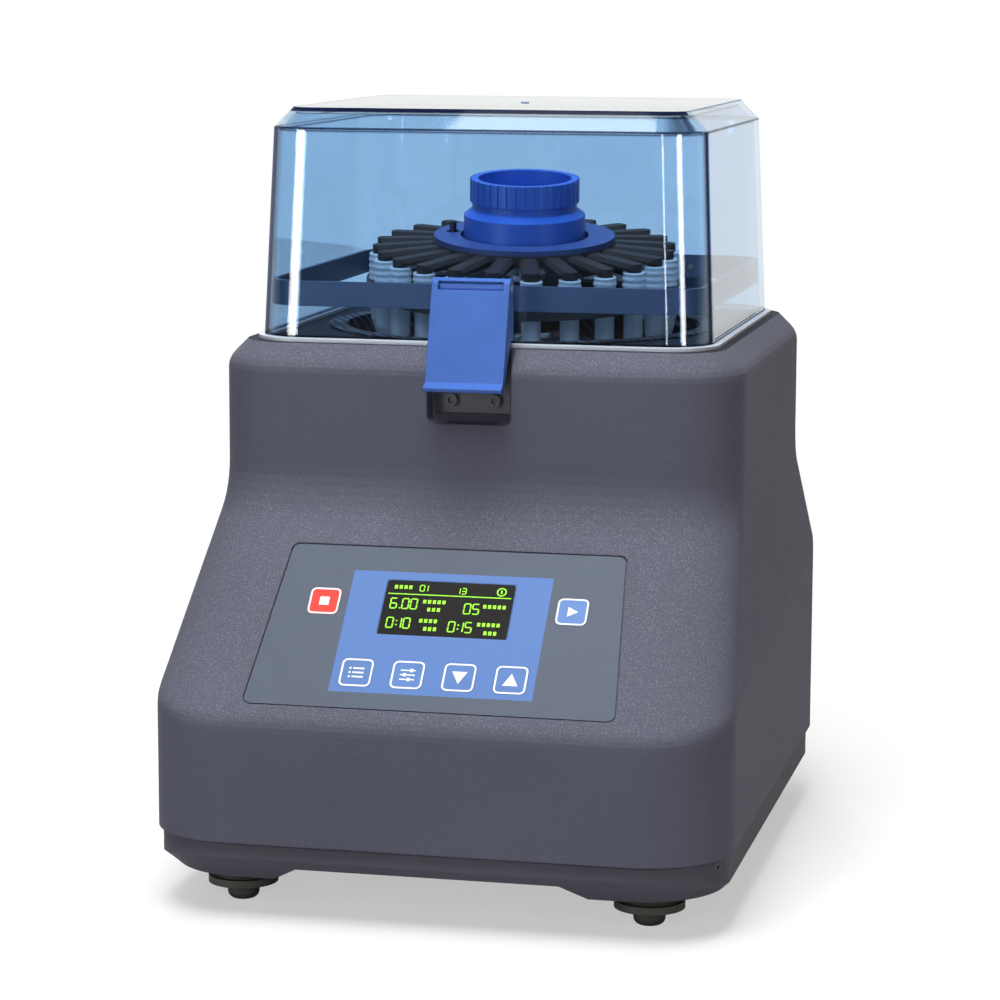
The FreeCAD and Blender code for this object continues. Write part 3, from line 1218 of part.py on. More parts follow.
def make_swash_hub():
    """The hub on the shaft with the slanted journal that rocks the holder."""
    hub = rotor_rod(SWASH_HUB_RADIUS, SWASH_HUB_BOTTOM, SWASH_HUB_TOP)
    journal = tilted(rotor_rod(JOURNAL_RADIUS, SWASH_HUB_TOP - JOURNAL_ROOT, JOURNAL_TOP))
    hub = hub.fuse(journal).removeSplitter()
    return hub.cut(rotor_rod(SHAFT_RADIUS, SWASH_HUB_BOTTOM - 1, SWASH_HUB_TOP - SHAFT_SOCKET_ROOF))


def make_fork():
    """Two posts on the chamber floor that keep the guide pin, and so the holder, from turning."""
    posts = []
    gap = GUIDE_PIN_RADIUS + GUIDE_FORK_GAP
    start = UPPER_CENTRE_Y + GUIDE_FORK_RADIUS - GUIDE_FORK_WIDTH / 2
    for side in (-1, 1):
        x_range = sorted((side * gap, side * (gap + GUIDE_FORK_WIDTH)))
        posts.append(box(x_range, (start, start + GUIDE_FORK_WIDTH), (CHAMBER_FLOOR, GUIDE_FORK_TOP)))
    half = gap + GUIDE_FORK_WIDTH
    foot = box((-half, half), (start, start + GUIDE_FORK_WIDTH), (CHAMBER_FLOOR, CHAMBER_FLOOR + GUIDE_FORK_WIDTH))
    return fused(posts + [foot])


def make_plate():
    """The pressure plate: a hub with a radial finger down to every cap."""
    bottom = PLATE_TOP - PLATE_THICKNESS
    hub = rotor_rod(PLATE_HUB_RADIUS, bottom, PLATE_TOP)
    finger = make_finger(bottom)
    fingers = []
    for index in range(FINGER_COUNT):
        turned = finger.copy()
        turned.rotate(Vec(0, UPPER_CENTRE_Y, 0), Z_AXIS, 360.0 * index / FINGER_COUNT)
        fingers.append(turned)
    plate = fused([hub] + fingers)
    cuts = [rotor_rod(STUD_RADIUS + PLATE_BORE_CLEARANCE, bottom - 9, PLATE_TOP + 1)]
    pin = Vec(-LOCK_PIN_CIRCLE, UPPER_CENTRE_Y, 0)
    cuts.append(rod(LOCK_PIN_RADIUS, pin + Z_AXIS * (PLATE_TOP - LOCK_PIN_SINK), pin + Z_AXIS * (PLATE_TOP + 1)))
    return tilted(plate.cut(cuts))


def make_finger(bottom):
    """One finger at the front: a tapering bar with a round end and a pad on its cap."""
    far = UPPER_CENTRE_Y - FINGER_END_RADIUS + FINGER_WIDTH / 2
    near = UPPER_CENTRE_Y - FINGER_ROOT_RADIUS
    tip_bottom = FINGER_TIP_TOP - FINGER_TIP_THICKNESS
    end = UPPER_CENTRE_Y - FINGER_END_RADIUS
    half = FINGER_WIDTH / 2
    bar = polygon_prism([(near, bottom), (near, PLATE_TOP), (end, FINGER_TIP_TOP), (end, tip_bottom)], -half, half)
    stadium = box((-half, half), (far, near + 1), (bottom - PLATE_THICKNESS, PLATE_TOP + 1))
    stadium = stadium.fuse(rod(half, Vec(0, far, bottom - PLATE_THICKNESS), Vec(0, far, PLATE_TOP + 1)))
    bar = bar.common(stadium.removeSplitter())
    middle = Vec(0, UPPER_CENTRE_Y - TUBE_CIRCLE_RADIUS, 0)
    pad = rod(FINGER_PAD_RADIUS, middle + Z_AXIS * (CAP_TOP + PLATE_CAP_GAP), middle + Z_AXIS * FINGER_TIP_TOP)
    chamfer = FINGER_EDGE
    top_cut = []
    for side in (-1, 1):
        corners = [Vec(side * (half - chamfer), 0, 0.3), Vec(side * (half + 1), 0, 0.3),
                   Vec(side * (half + 1), 0, -chamfer - 1.3)]
        wedge = Part.Face(Part.makePolygon(corners + corners[:1])).extrude(Y_AXIS * 2 * FINGER_END_RADIUS)
        slope = math.degrees(math.atan2(PLATE_TOP - FINGER_TIP_TOP, near - end))
        wedge.rotate(Vec(), X_AXIS, slope)
        wedge.translate(Vec(0, end, FINGER_TIP_TOP))
        top_cut.append(wedge)
    return bar.cut(top_cut).fuse(pad)


def make_disc():
    """The coloured disc on the pressure plate, open round the knob."""
    disc = rotor_rod(DISC_RADIUS, PLATE_TOP, DISC_TOP)
    pin = Vec(-LOCK_PIN_CIRCLE, UPPER_CENTRE_Y, 0)
    hole = rod(LOCK_PIN_RADIUS + 2.0, pin + Z_AXIS * (PLATE_TOP - 1), pin + Z_AXIS * (DISC_TOP + 1))
    return tilted(disc.cut([rotor_rod(DISC_HOLE_RADIUS, PLATE_TOP - 1, DISC_TOP + 1), hole]))


def make_lock_pin():
    """The upright pin in the pressure plate."""
    pin = Vec(-LOCK_PIN_CIRCLE, UPPER_CENTRE_Y, 0)
    return tilted(rod(LOCK_PIN_RADIUS, pin + Z_AXIS * (PLATE_TOP - LOCK_PIN_SINK),
                      pin + Z_AXIS * (DISC_TOP + LOCK_PIN_RISE)))


def make_knob():
    """The clamping knob: a hollow cup with ribs round its rim, a neck, a cone and a wide base."""
    bottom = PLATE_TOP + KNOB_PLATE_GAP
    body = revolved([
        (0, bottom), (KNOB_BASE_RADIUS, bottom), (KNOB_BASE_RADIUS, KNOB_CONE_BOTTOM),
        (KNOB_NECK_RADIUS, KNOB_CONE_TOP), (KNOB_NECK_RADIUS, KNOB_RIB_BOTTOM),
        (KNOB_RADIUS - KNOB_RIB_DEPTH, KNOB_RIB_BOTTOM), (KNOB_RADIUS - KNOB_RIB_DEPTH, KNOB_TOP),
        (KNOB_HOLLOW_RADIUS, KNOB_TOP), (KNOB_HOLLOW_RADIUS, KNOB_FLOOR), (0, KNOB_FLOOR),
    ], 0, UPPER_CENTRE_Y)
    half = math.pi * KNOB_RADIUS * KNOB_RIB_SHARE / KNOB_RIB_COUNT
    rib = box((-half, half), (UPPER_CENTRE_Y - KNOB_RADIUS, UPPER_CENTRE_Y - KNOB_RADIUS + 2 * KNOB_RIB_DEPTH),
              (KNOB_RIB_BOTTOM, KNOB_TOP))
    ribs = []
    for index in range(KNOB_RIB_COUNT):
        turned = rib.copy()
        turned.rotate(Vec(0, UPPER_CENTRE_Y, 0), Z_AXIS, 360.0 * index / KNOB_RIB_COUNT)
        ribs.append(turned)
    knob = fused([body] + ribs)
    return tilted(knob.cut(rotor_rod(STUD_RADIUS + PLATE_BORE_CLEARANCE, bottom - 1, KNOB_FLOOR + 1)))


def make_motor():
    """The motor under the frame's plate, with its pilot."""
    body = rotor_rod(MOTOR_RADIUS, MOTOR_BOTTOM, MOTOR_TOP)
    edges = [edge for edge in body.Edges if edge.Closed]
    body = body.makeChamfer(3.0, edges)
    pilot = rotor_rod(PILOT_RADIUS, MOTOR_TOP, MOTOR_TOP + FRAME_PLATE_THICKNESS / 2)
    bore = rotor_rod(SHAFT_RADIUS + BEARING_CLEARANCE, SHAFT_BOTTOM - 2, MOTOR_TOP + FRAME_PLATE_THICKNESS)
    return fused([body, pilot]).cut(bore)


def frame_legs():
    """The frame's four leg places."""
    inset = FRAME_LEG_RADIUS + 3.0
    return [Vec(sx * (FRAME_PLATE_X - inset), UPPER_CENTRE_Y + sy * (FRAME_PLATE_Y - inset), 0)
            for sx in (-1, 1) for sy in (-1, 1)]


def make_motor_frame():
    """A plate on four legs that carries the motor and the shaft bearing."""
    plate = box((-FRAME_PLATE_X, FRAME_PLATE_X),
                (UPPER_CENTRE_Y - FRAME_PLATE_Y, UPPER_CENTRE_Y + FRAME_PLATE_Y),
                (MOTOR_TOP, MOTOR_TOP + FRAME_PLATE_THICKNESS))
    legs = [rod(FRAME_LEG_RADIUS, place + Z_AXIS * (TRAY_FLOOR_TOP + MOUNT_HEIGHT), place + Z_AXIS * MOTOR_TOP)
            for place in frame_legs()]
    frame = fused([plate] + legs)
    pilot = rotor_rod(PILOT_RADIUS, MOTOR_TOP - 1, MOTOR_TOP + FRAME_PLATE_THICKNESS / 2)
    bore = rotor_rod(SHAFT_BEARING_RADIUS - 3, MOTOR_TOP, MOTOR_TOP + 2 * FRAME_PLATE_THICKNESS)
    return frame.cut([pilot, bore])


def make_mounts():
    """Rubber mounts under the frame's legs."""
    return [rod(MOUNT_RADIUS, place + Z_AXIS * TRAY_FLOOR_TOP, place + Z_AXIS * (TRAY_FLOOR_TOP + MOUNT_HEIGHT))
            for place in frame_legs()]


def make_shaft_bearing():
    """The flanged bearing that stands on the frame's plate."""
    base = MOTOR_TOP + FRAME_PLATE_THICKNESS
    flange = rotor_rod(SHAFT_BEARING_RADIUS + BEARING_FLANGE, base, base + BEARING_FLANGE_HEIGHT)
    body = rotor_rod(SHAFT_BEARING_RADIUS, base, base + SHAFT_BEARING_HEIGHT)
    bore = rotor_rod(SHAFT_RADIUS + BEARING_CLEARANCE, base - 1, base + SHAFT_BEARING_HEIGHT + 1)
    return fused([flange, body]).cut(bore)


def make_shaft():
    """The drive shaft from the motor to the swash hub."""
    return rotor_rod(SHAFT_RADIUS, SHAFT_BOTTOM, SWASH_HUB_TOP - SHAFT_SOCKET_ROOF)


def make_counterweight():
    """A sector of steel that balances the swash hub."""
    top = WEIGHT_BOTTOM + WEIGHT_HEIGHT
    disc = rotor_rod(WEIGHT_RADIUS, WEIGHT_BOTTOM, top)
    half = box((-WEIGHT_RADIUS, WEIGHT_RADIUS), (UPPER_CENTRE_Y - WEIGHT_RADIUS, UPPER_CENTRE_Y),
               (WEIGHT_BOTTOM, top))
    half.rotate(Vec(0, UPPER_CENTRE_Y, 0), Z_AXIS, SWASH_TURN)
    weight = fused([disc.cut(half), rotor_rod(WEIGHT_HUB_RADIUS, WEIGHT_BOTTOM, top)])
    return weight.cut(rotor_rod(SHAFT_RADIUS, WEIGHT_BOTTOM - 1, top + 1))


# Rear fittings

def rear_block(x, z, half_width, half_height, corner, front, rear):
    """A rounded block between two depths, with its rounded outline facing the rear."""
    block = rounded_block(half_width, half_height, corner, rear - front)
    block.rotate(Vec(), X_AXIS, 90)
    block.translate(Vec(x, rear, z))
    return block


def make_inlet():
    """The mains inlet with its socket and three blades."""
    flange = rear_block(INLET_X, INLET_Z, INLET_FLANGE_WIDTH / 2 - ROCKER_GAP, INLET_FLANGE_HEIGHT / 2 - ROCKER_GAP,
                        3.0, REAR_FACE, LOWER_REAR - ROCKER_GAP)
    body = rear_block(INLET_X, INLET_Z, INLET_BODY_HALF - ROCKER_GAP, INLET_BODY_HEIGHT / 2 - ROCKER_GAP, 2.0,
                      REAR_FACE - INLET_DEPTH, REAR_FACE)
    socket_z = INLET_Z - DRAWER_HEIGHT / 2 - 2.0
    rear = LOWER_REAR
    socket = rear_block(INLET_X, socket_z, INLET_WIDTH / 2, INLET_HEIGHT / 2, 3.0, rear - INLET_SOCKET_DEPTH, rear)
    blades = []
    for index in (-1, 0, 1):
        lift = 2.0 if index == 0 else -2.0
        x = INLET_X + index * PIN_PITCH
        blades.append(box((x - PIN_WIDTH / 2, x + PIN_WIDTH / 2),
                          (rear - INLET_SOCKET_DEPTH - 1, rear - INLET_SOCKET_DEPTH + PIN_LENGTH),
                          (socket_z + lift - PIN_HEIGHT / 2, socket_z + lift + PIN_HEIGHT / 2)))
    drawer = fuse_drawer_block(0.0, REAR_FACE - INLET_DEPTH / 2)
    return fused([fused([flange, body]).cut([socket, drawer])] + blades)


def fuse_drawer_block(margin, front):
    """The fuse drawer's slot, or the drawer itself when it is shrunk by a margin."""
    z = INLET_Z + DRAWER_RISE - DRAWER_HEIGHT / 2
    return rear_block(INLET_X, z, DRAWER_WIDTH / 2 - margin, DRAWER_HEIGHT / 2 - margin, 1.0,
                      front, LOWER_REAR - ROCKER_GAP)


def make_fuse_drawer():
    """The fuse drawer above the inlet's socket."""
    return fuse_drawer_block(ROCKER_GAP / 2, REAR_FACE - INLET_DEPTH / 2)


def make_switch_frame():
    """The power switch's housing with a round-bottomed well for the rocker."""
    flange = rear_block(SWITCH_X, SWITCH_Z, SWITCH_FLANGE_HALF_X - ROCKER_GAP, SWITCH_FLANGE_HALF_Z - ROCKER_GAP,
                        2.0, REAR_FACE, LOWER_REAR - ROCKER_GAP)
    body = rear_block(SWITCH_X, SWITCH_Z, SWITCH_BODY_HALF_X - ROCKER_GAP, SWITCH_BODY_HALF_Z - ROCKER_GAP, 1.0,
                      REAR_FACE - SWITCH_DEPTH, REAR_FACE)
    half_x = ROCKER_WIDTH / 2 + ROCKER_GAP
    half_z = ROCKER_HEIGHT / 2 + ROCKER_GAP
    well = box((SWITCH_X - half_x, SWITCH_X + half_x), (REAR_FACE - SWITCH_DEPTH + 2, LOWER_REAR),
               (SWITCH_Z - half_z, SWITCH_Z + half_z))
    axle = rocker_axle(ROCKER_AXLE_RADIUS, SWITCH_BODY_HALF_X - ROCKER_GAP)
    return fused([fused([flange, body]).cut(well), axle])


def rocker_axle(radius, half):
    """A rod on the rocker's hinge line."""
    return rod(radius, Vec(SWITCH_X - half, ROCKER_AXIS_Y, SWITCH_Z), Vec(SWITCH_X + half, ROCKER_AXIS_Y, SWITCH_Z))


def make_rocker():
    """The rocker: a dished face over a wedge-shaped back, with its lower end pressed in."""
    half = ROCKER_HEIGHT / 2 - 3 * ROCKER_GAP
    tip = ROCKER_AXIS_Y + ROCKER_DEPTH
    back = ROCKER_AXIS_Y - ROCKER_BACK
    profile = [
        (back, SWITCH_Z - ROCKER_BACK), (tip - ROCKER_DISH, SWITCH_Z - half), (tip, SWITCH_Z - half),
        (tip - ROCKER_DISH, SWITCH_Z), (tip, SWITCH_Z + half), (tip - ROCKER_DISH, SWITCH_Z + half),
        (back, SWITCH_Z + ROCKER_BACK),
    ]
    rocker = polygon_prism(profile, SWITCH_X - ROCKER_WIDTH / 2, SWITCH_X + ROCKER_WIDTH / 2)
    rocker = rocker.cut(rocker_axle(ROCKER_AXLE_RADIUS + BEARING_CLEARANCE, ROCKER_WIDTH))
    rocker.rotate(Vec(SWITCH_X, ROCKER_AXIS_Y, SWITCH_Z), X_AXIS, -ROCKER_TILT)
    return rocker


def make_fan_frame():
    """The fan's square frame behind the grille, with three struts to its motor cup."""
    front = LOWER_REAR - HOUSING_WALL - FAN_DEPTH
    rear = LOWER_REAR - HOUSING_WALL
    frame = rear_block(FAN_X, FAN_Z, FAN_SIZE / 2, FAN_SIZE / 2, 4.0, front, rear)
    frame = frame.cut(rod(FAN_BORE_RADIUS, Vec(FAN_X, front - 1, FAN_Z), Vec(FAN_X, rear + 1, FAN_Z)))
    cup = rod(FAN_HUB_RADIUS, Vec(FAN_X, front, FAN_Z), Vec(FAN_X, front + FAN_CUP_DEPTH, FAN_Z))
    struts = []
    for index in range(3):
        strut = box((FAN_X - FAN_STRUT_HALF, FAN_X + FAN_STRUT_HALF), (front, front + FAN_STRUT_DEPTH),
                    (FAN_Z, FAN_Z + FAN_BORE_RADIUS + 1))
        strut.rotate(Vec(FAN_X, 0, FAN_Z), Y_AXIS, 120.0 * index)
        struts.append(strut)
    spindle = rod(FAN_SPINDLE_RADIUS, Vec(FAN_X, front, FAN_Z), Vec(FAN_X, front + FAN_SPINDLE_LENGTH, FAN_Z))
    return fused([frame, cup] + struts + [spindle])


def make_fan_rotor():
    """The fan's hub with slanted blades."""
    front = LOWER_REAR - HOUSING_WALL - FAN_DEPTH + FAN_ROTOR_START
    depth = FAN_ROTOR_DEPTH
    hub = rod(FAN_HUB_RADIUS, Vec(FAN_X, front, FAN_Z), Vec(FAN_X, front + depth, FAN_Z))
    blades = []
    for index in range(FAN_BLADE_COUNT):
        blade = box((-FAN_BLADE_HALF, FAN_BLADE_HALF), (-depth * 0.55, depth * 0.55),
                    (FAN_HUB_RADIUS * 0.875, FAN_BLADE_RADIUS * 1.17))
        blade.rotate(Vec(), Z_AXIS, FAN_BLADE_ANGLE)
        blade.translate(Vec(FAN_X, front + depth / 2, FAN_Z))
        blade.rotate(Vec(FAN_X, 0, FAN_Z), Y_AXIS, 360.0 * index / FAN_BLADE_COUNT)
        blades.append(blade)
    limit = rod(FAN_BLADE_RADIUS, Vec(FAN_X, front, FAN_Z), Vec(FAN_X, front + depth, FAN_Z))
    rotor = fused([hub] + blades).common(limit)
    bore_end = front + depth - FAN_SPINDLE_RADIUS
    return rotor.cut(rod(FAN_SPINDLE_RADIUS + BEARING_CLEARANCE, Vec(FAN_X, front - 1, FAN_Z),
                         Vec(FAN_X, bore_end, FAN_Z)))


def make_module(size, x, y):
    """A closed electronics module on the tray, with four feet under it."""
    width, depth, height = size
    base = TRAY_FLOOR_TOP + STANDOFF_HEIGHT
    case = box((x - width / 2, x + width / 2), (y - depth / 2, y + depth / 2), (base, base + height))
    inset = BOARD_POST_INSET
    feet = [rod(BOARD_POST_RADIUS, Vec(x + sx * (width / 2 - inset), y + sy * (depth / 2 - inset), TRAY_FLOOR_TOP),
                Vec(x + sx * (width / 2 - inset), y + sy * (depth / 2 - inset), base))
            for sx in (-1, 1) for sy in (-1, 1)]
    return fused([case] + feet)


def main():
    """Build and write every node."""
    os.makedirs("parts", exist_ok=True)
    write("housing_shell", make_housing())
    write("base_tray", make_tray())
    write("tray_screws", [screw(place, direction, 2 * HOUSING_WALL, TRAY_SCREW_RADIUS)
                          for place, direction in tray_screw_places()])
    write("rubber_feet", [make_foot(x, y) for x, y in foot_places()])
    write("foot_discs", [make_foot_disc(x, y) for x, y in foot_places()])
    write("foot_screws", [make_foot_screw(x, y) for x, y in foot_places()])
    write("lid_gasket", make_gasket())
    write("lid_shell", make_lid())
    write("lid_frame", make_lid_frame())
    write("hinge_bases", [make_hinge_base(side * HINGE_X) for side in (-1, 1)])
    write("hinge_leaves", [make_hinge_leaf(side * HINGE_X) for side in (-1, 1)])
    write("hinge_pins", [rod(HINGE_PIN_RADIUS, Vec(side * HINGE_X - HINGE_WIDTH / 2, HINGE_Y, HINGE_Z),
                             Vec(side * HINGE_X + HINGE_WIDTH / 2, HINGE_Y, HINGE_Z)) for side in (-1, 1)])
    write("hinge_base_screws", [screw(place, direction, 3 * HINGE_PLATE)
                                for place, direction in hinge_base_screws()])
    write("lid_screws", [screw(place, direction, 3 * LID_WALL) for place, direction in lid_screws()])
    write("latch_bracket", make_bracket())
    write("latch_pin", latch_axis_rod(LATCH_PIN_RADIUS, LEVER_WIDTH / 2 + BARREL_GAP))
    write("latch_lever", make_lever())
    write("latch_keeper", make_keeper())
    write("keeper_screws", [screw(place, direction, 2 * HOUSING_WALL)
                            for place, direction in keeper_screw_places()])
    write("panel_overlay", make_overlay())
    write("display_window", make_display_window())
    write("display_module", make_display_module())
    write("control_board", make_control_board())
    write("board_posts", make_board_posts())
    write("key_switches", make_key_switches())
    for name, size, x, down in key_places():
        write(name, make_key(size, x, down))
    write("chamber_bowl", make_chamber())
    write("tube_holder", make_holder())
    write("holder_bearings", make_bearings())
    write("guide_pin", tilted(guide_pin_rod()))
    write("guide_fork", make_fork())
    write("sample_tubes", [make_tube(place) for place in ring_places(TUBE_CIRCLE_RADIUS, TUBE_COUNT)])
    write("tube_caps", [make_cap(place) for place in ring_places(TUBE_CIRCLE_RADIUS, TUBE_COUNT)])
    write("clamp_stud", make_stud())
    write("pressure_plate", make_plate())
    write("plate_disc", make_disc())
    write("lock_pin", make_lock_pin())
    write("clamp_knob", make_knob())
    write("swash_hub", make_swash_hub())
    write("drive_shaft", make_shaft())
    write("counterweight", make_counterweight())
    write("drive_motor", make_motor())
    write("motor_frame", make_motor_frame())
    write("vibration_mounts", make_mounts())
    write("shaft_bearing", make_shaft_bearing())
    write("power_inlet", make_inlet())
    write("fuse_drawer", make_fuse_drawer())
    write("switch_frame", make_switch_frame())
    write("power_rocker", make_rocker())
    write("fan_frame", make_fan_frame())
    write("fan_rotor", make_fan_rotor())
    write("power_supply", make_module(SUPPLY_SIZE, SUPPLY_X, MODULE_Y))
    write("motor_controller", make_module(CONTROLLER_SIZE, CONTROLLER_X, MODULE_Y))


main()
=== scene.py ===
"""Looks of a bench homogenizer: housing, clear lid, tilted tube rotor, latch and membrane panel."""

import json
import logging
import math
from dataclasses import dataclass, field
from enum import Enum

import bpy
import numpy as np
from mathutils import Matrix, Vector


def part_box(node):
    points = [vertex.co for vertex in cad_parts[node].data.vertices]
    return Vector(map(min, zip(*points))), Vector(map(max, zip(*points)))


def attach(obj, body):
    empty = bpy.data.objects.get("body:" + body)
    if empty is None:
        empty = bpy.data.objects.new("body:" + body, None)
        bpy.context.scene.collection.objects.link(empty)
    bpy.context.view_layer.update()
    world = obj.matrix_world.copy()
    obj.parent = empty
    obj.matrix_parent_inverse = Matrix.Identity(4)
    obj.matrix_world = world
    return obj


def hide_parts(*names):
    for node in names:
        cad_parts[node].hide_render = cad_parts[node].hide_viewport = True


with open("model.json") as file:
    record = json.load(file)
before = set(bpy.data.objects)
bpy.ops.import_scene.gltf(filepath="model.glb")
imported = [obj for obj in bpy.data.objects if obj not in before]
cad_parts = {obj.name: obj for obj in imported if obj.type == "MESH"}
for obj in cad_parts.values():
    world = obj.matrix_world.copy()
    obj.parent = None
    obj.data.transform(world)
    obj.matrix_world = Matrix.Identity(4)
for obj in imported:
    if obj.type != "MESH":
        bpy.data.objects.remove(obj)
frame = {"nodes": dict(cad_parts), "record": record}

LOG = logging.getLogger("homogenizer")
MM = 0.001
Colour = tuple[float, float, float]
Place = tuple[float, float, float]


class Body(Enum):
    """The bodies that the added pieces ride on."""

    HOUSING = "body"
    ROTOR = "rotor"
    STOP = "stop_key"
    START = "start_key"
    PROGRAM = "program_key"
    SETTINGS = "set_key"
    DOWN = "down_key"
    UP = "up_key"


class NodeSheet:
    """The node tree of a material or a world, with short ways to add and wire nodes."""

    def __init__(self, name: str, world: bool = False) -> None:
        """Start an empty tree.

        Args:
            name: the owner's name.
            world: whether the owner is a world instead of a material.
        """
        self.owner = (bpy.data.worlds if world else bpy.data.materials).new(name)
        self.owner.use_nodes = True
        self.tree = self.owner.node_tree
        self.tree.nodes.clear()
        self.output = self.tree.nodes.new("ShaderNodeOutputWorld" if world else "ShaderNodeOutputMaterial")

    def add(self, kind: str, values: dict | None = None, **settings: object) -> bpy.types.Node:
        """Add a node.

        Args:
            kind: the node's type name.
            values: input socket values by socket name or number.
            **settings: attributes of the node.

        Returns:
            The new node.
        """
        node = self.tree.nodes.new(kind)
        for key, value in settings.items():
            setattr(node, key, value)
        for key, value in (values or {}).items():
            node.inputs[key].default_value = value
        return node

    def wire(self, source: bpy.types.NodeSocket, target: bpy.types.NodeSocket) -> None:
        """Connect an output socket to an input socket."""
        self.tree.links.new(source, target)

    def place(self, scale: Place = (1.0, 1.0, 1.0)) -> bpy.types.NodeSocket:
        """Give Object coordinates in metres, stretched by a scale.

        Args:
            scale: the stretch along each axis.

        Returns:
            The vector socket.
        """
        coords = self.add("ShaderNodeTexCoord")
        if scale == (1.0, 1.0, 1.0):
            return coords.outputs["Object"]
        mapping = self.add("ShaderNodeMapping", {"Scale": scale})
        self.wire(coords.outputs["Object"], mapping.inputs["Vector"])
        return mapping.outputs["Vector"]

    def noise(self, per_metre: float, detail: float = 3.0, rough: float = 0.55,
              scale: Place = (1.0, 1.0, 1.0)) -> bpy.types.NodeSocket:
        """Give a noise field.

        Args:
            per_metre: how many cells a metre holds.
            detail: the number of finer layers.
            rough: how strong the finer layers are.
            scale: the stretch along each axis.

        Returns:
            The factor socket.
        """
        node = self.add("ShaderNodeTexNoise", {"Scale": per_metre, "Detail": detail, "Roughness": rough})
        self.wire(self.place(scale), node.inputs["Vector"])
        return node.outputs[0]

    def remap(self, source: bpy.types.NodeSocket, low: float, high: float,
              from_low: float = 0.3, from_high: float = 0.7) -> bpy.types.NodeSocket:
        """Map a factor onto a range.

        Args:
            source: the factor socket.
            low: the result at the low end.
            high: the result at the high end.
            from_low: the factor at the low end.
            from_high: the factor at the high end.

        Returns:
            The mapped socket.
        """
        node = self.add("ShaderNodeMapRange",
                        {"From Min": from_low, "From Max": from_high, "To Min": low, "To Max": high})
        self.wire(source, node.inputs["Value"])
        return node.outputs[0]

    def math(self, operation: str, first: object, second: object = None) -> bpy.types.NodeSocket:
        """Combine sockets or numbers.

        Args:
            operation: the math node's operation.
            first: a socket or a number.
            second: a socket, a number or nothing.

        Returns:
            The result socket.
        """
        node = self.add("ShaderNodeMath", operation=operation)
        for index, item in enumerate((first, second)):
            if isinstance(item, bpy.types.NodeSocket):
                self.wire(item, node.inputs[index])
            elif item is not None:
                node.inputs[index].default_value = item
        return node.outputs[0]

    def product(self, first: object, *others: object) -> bpy.types.NodeSocket:
        """Multiply sockets or numbers together.

        Args:
            first: a socket or a number.
            *others: more of them.

        Returns:
            The product's socket.
        """
        for item in others:
            first = self.math("MULTIPLY", first, item)
        return first

    def parts(self, vector: bpy.types.NodeSocket) -> bpy.types.bpy_prop_collection:
        """Split a vector socket into its X, Y and Z sockets."""
        split = self.add("ShaderNodeSeparateXYZ")
        self.wire(vector, split.inputs[0])
        return split.outputs

    def normal(self) -> bpy.types.bpy_prop_collection:
        """Give the X, Y and Z sockets of the surface's own direction."""
        return self.parts(self.add("ShaderNodeNewGeometry").outputs["Normal"])

    def blend(self, factor: bpy.types.NodeSocket, low: object, high: object) -> bpy.types.NodeSocket:
        """Mix two colours by a factor.

        Args:
            factor: the mixing socket.
            low: the colour, or its socket, at 0.
            high: the colour, or its socket, at 1.

        Returns:
            The colour socket.
        """
        node = self.add("ShaderNodeMix", data_type="RGBA")
        self.wire(factor, node.inputs["Factor"])
        for socket, item in ((node.inputs[6], low), (node.inputs[7], high)):
            if isinstance(item, bpy.types.NodeSocket):
                self.wire(item, socket)
            else:
                socket.default_value = (*item, 1.0)
        return node.outputs[2]

    def bump(self, height: bpy.types.NodeSocket, depth: float, strength: float = 1.0,
             edge: float = 0.0) -> bpy.types.NodeSocket:
        """Turn a height field into a normal.

        Args:
            height: the height socket.
            depth: the relief in metres.
            strength: how much of it shows.
            edge: the radius that softens the piece's edges, in metres.

        Returns:
            The normal socket.
        """
        node = self.add("ShaderNodeBump", {"Strength": strength, "Distance": depth})
        self.wire(height, node.inputs["Height"])
        if edge:
            soft = self.add("ShaderNodeBevel", {"Radius": edge}, samples=4)
            self.wire(soft.outputs[0], node.inputs["Normal"])
        return node.outputs[0]

    def surface(self, shader: bpy.types.NodeSocket) -> bpy.types.ID:
        """Wire the final shader and give the material or the world."""
        self.wire(shader, self.output.inputs["Surface"])
        return self.owner


@dataclass(frozen=True)
class Moulded:
    """Moulded plastic or rubber with a fine grain, slight mottling and softened edges."""

    name: str
    colour: Colour
    roughness: float = 0.5
    grain: float = 1500.0
    depth: float = 0.00005
    mottle: float = 0.06
    edge: float = 0.0006
    specular: float = 0.5

    def make(self) -> bpy.types.Material:
        """Build the material."""
        sheet = NodeSheet(self.name)
        broad = sheet.noise(38.0, 2.0)
        fine = sheet.noise(self.grain, 3.0, 0.65)
        dark = tuple(c * (1.0 - self.mottle) for c in self.colour)
        light = tuple(min(1.0, c * (1.0 + self.mottle)) for c in self.colour)
        tone = sheet.blend(sheet.remap(broad, 0.0, 1.0), dark, light)
        shader = sheet.add("ShaderNodeBsdfPrincipled", {"Specular IOR Level": self.specular})
        sheet.wire(tone, shader.inputs["Base Color"])
        rough = sheet.remap(fine, self.roughness - 0.06, self.roughness + 0.08)
        sheet.wire(rough, shader.inputs["Roughness"])
        sheet.wire(sheet.bump(fine, self.depth, 1.0, self.edge), shader.inputs["Normal"])
        return sheet.surface(shader.outputs[0])


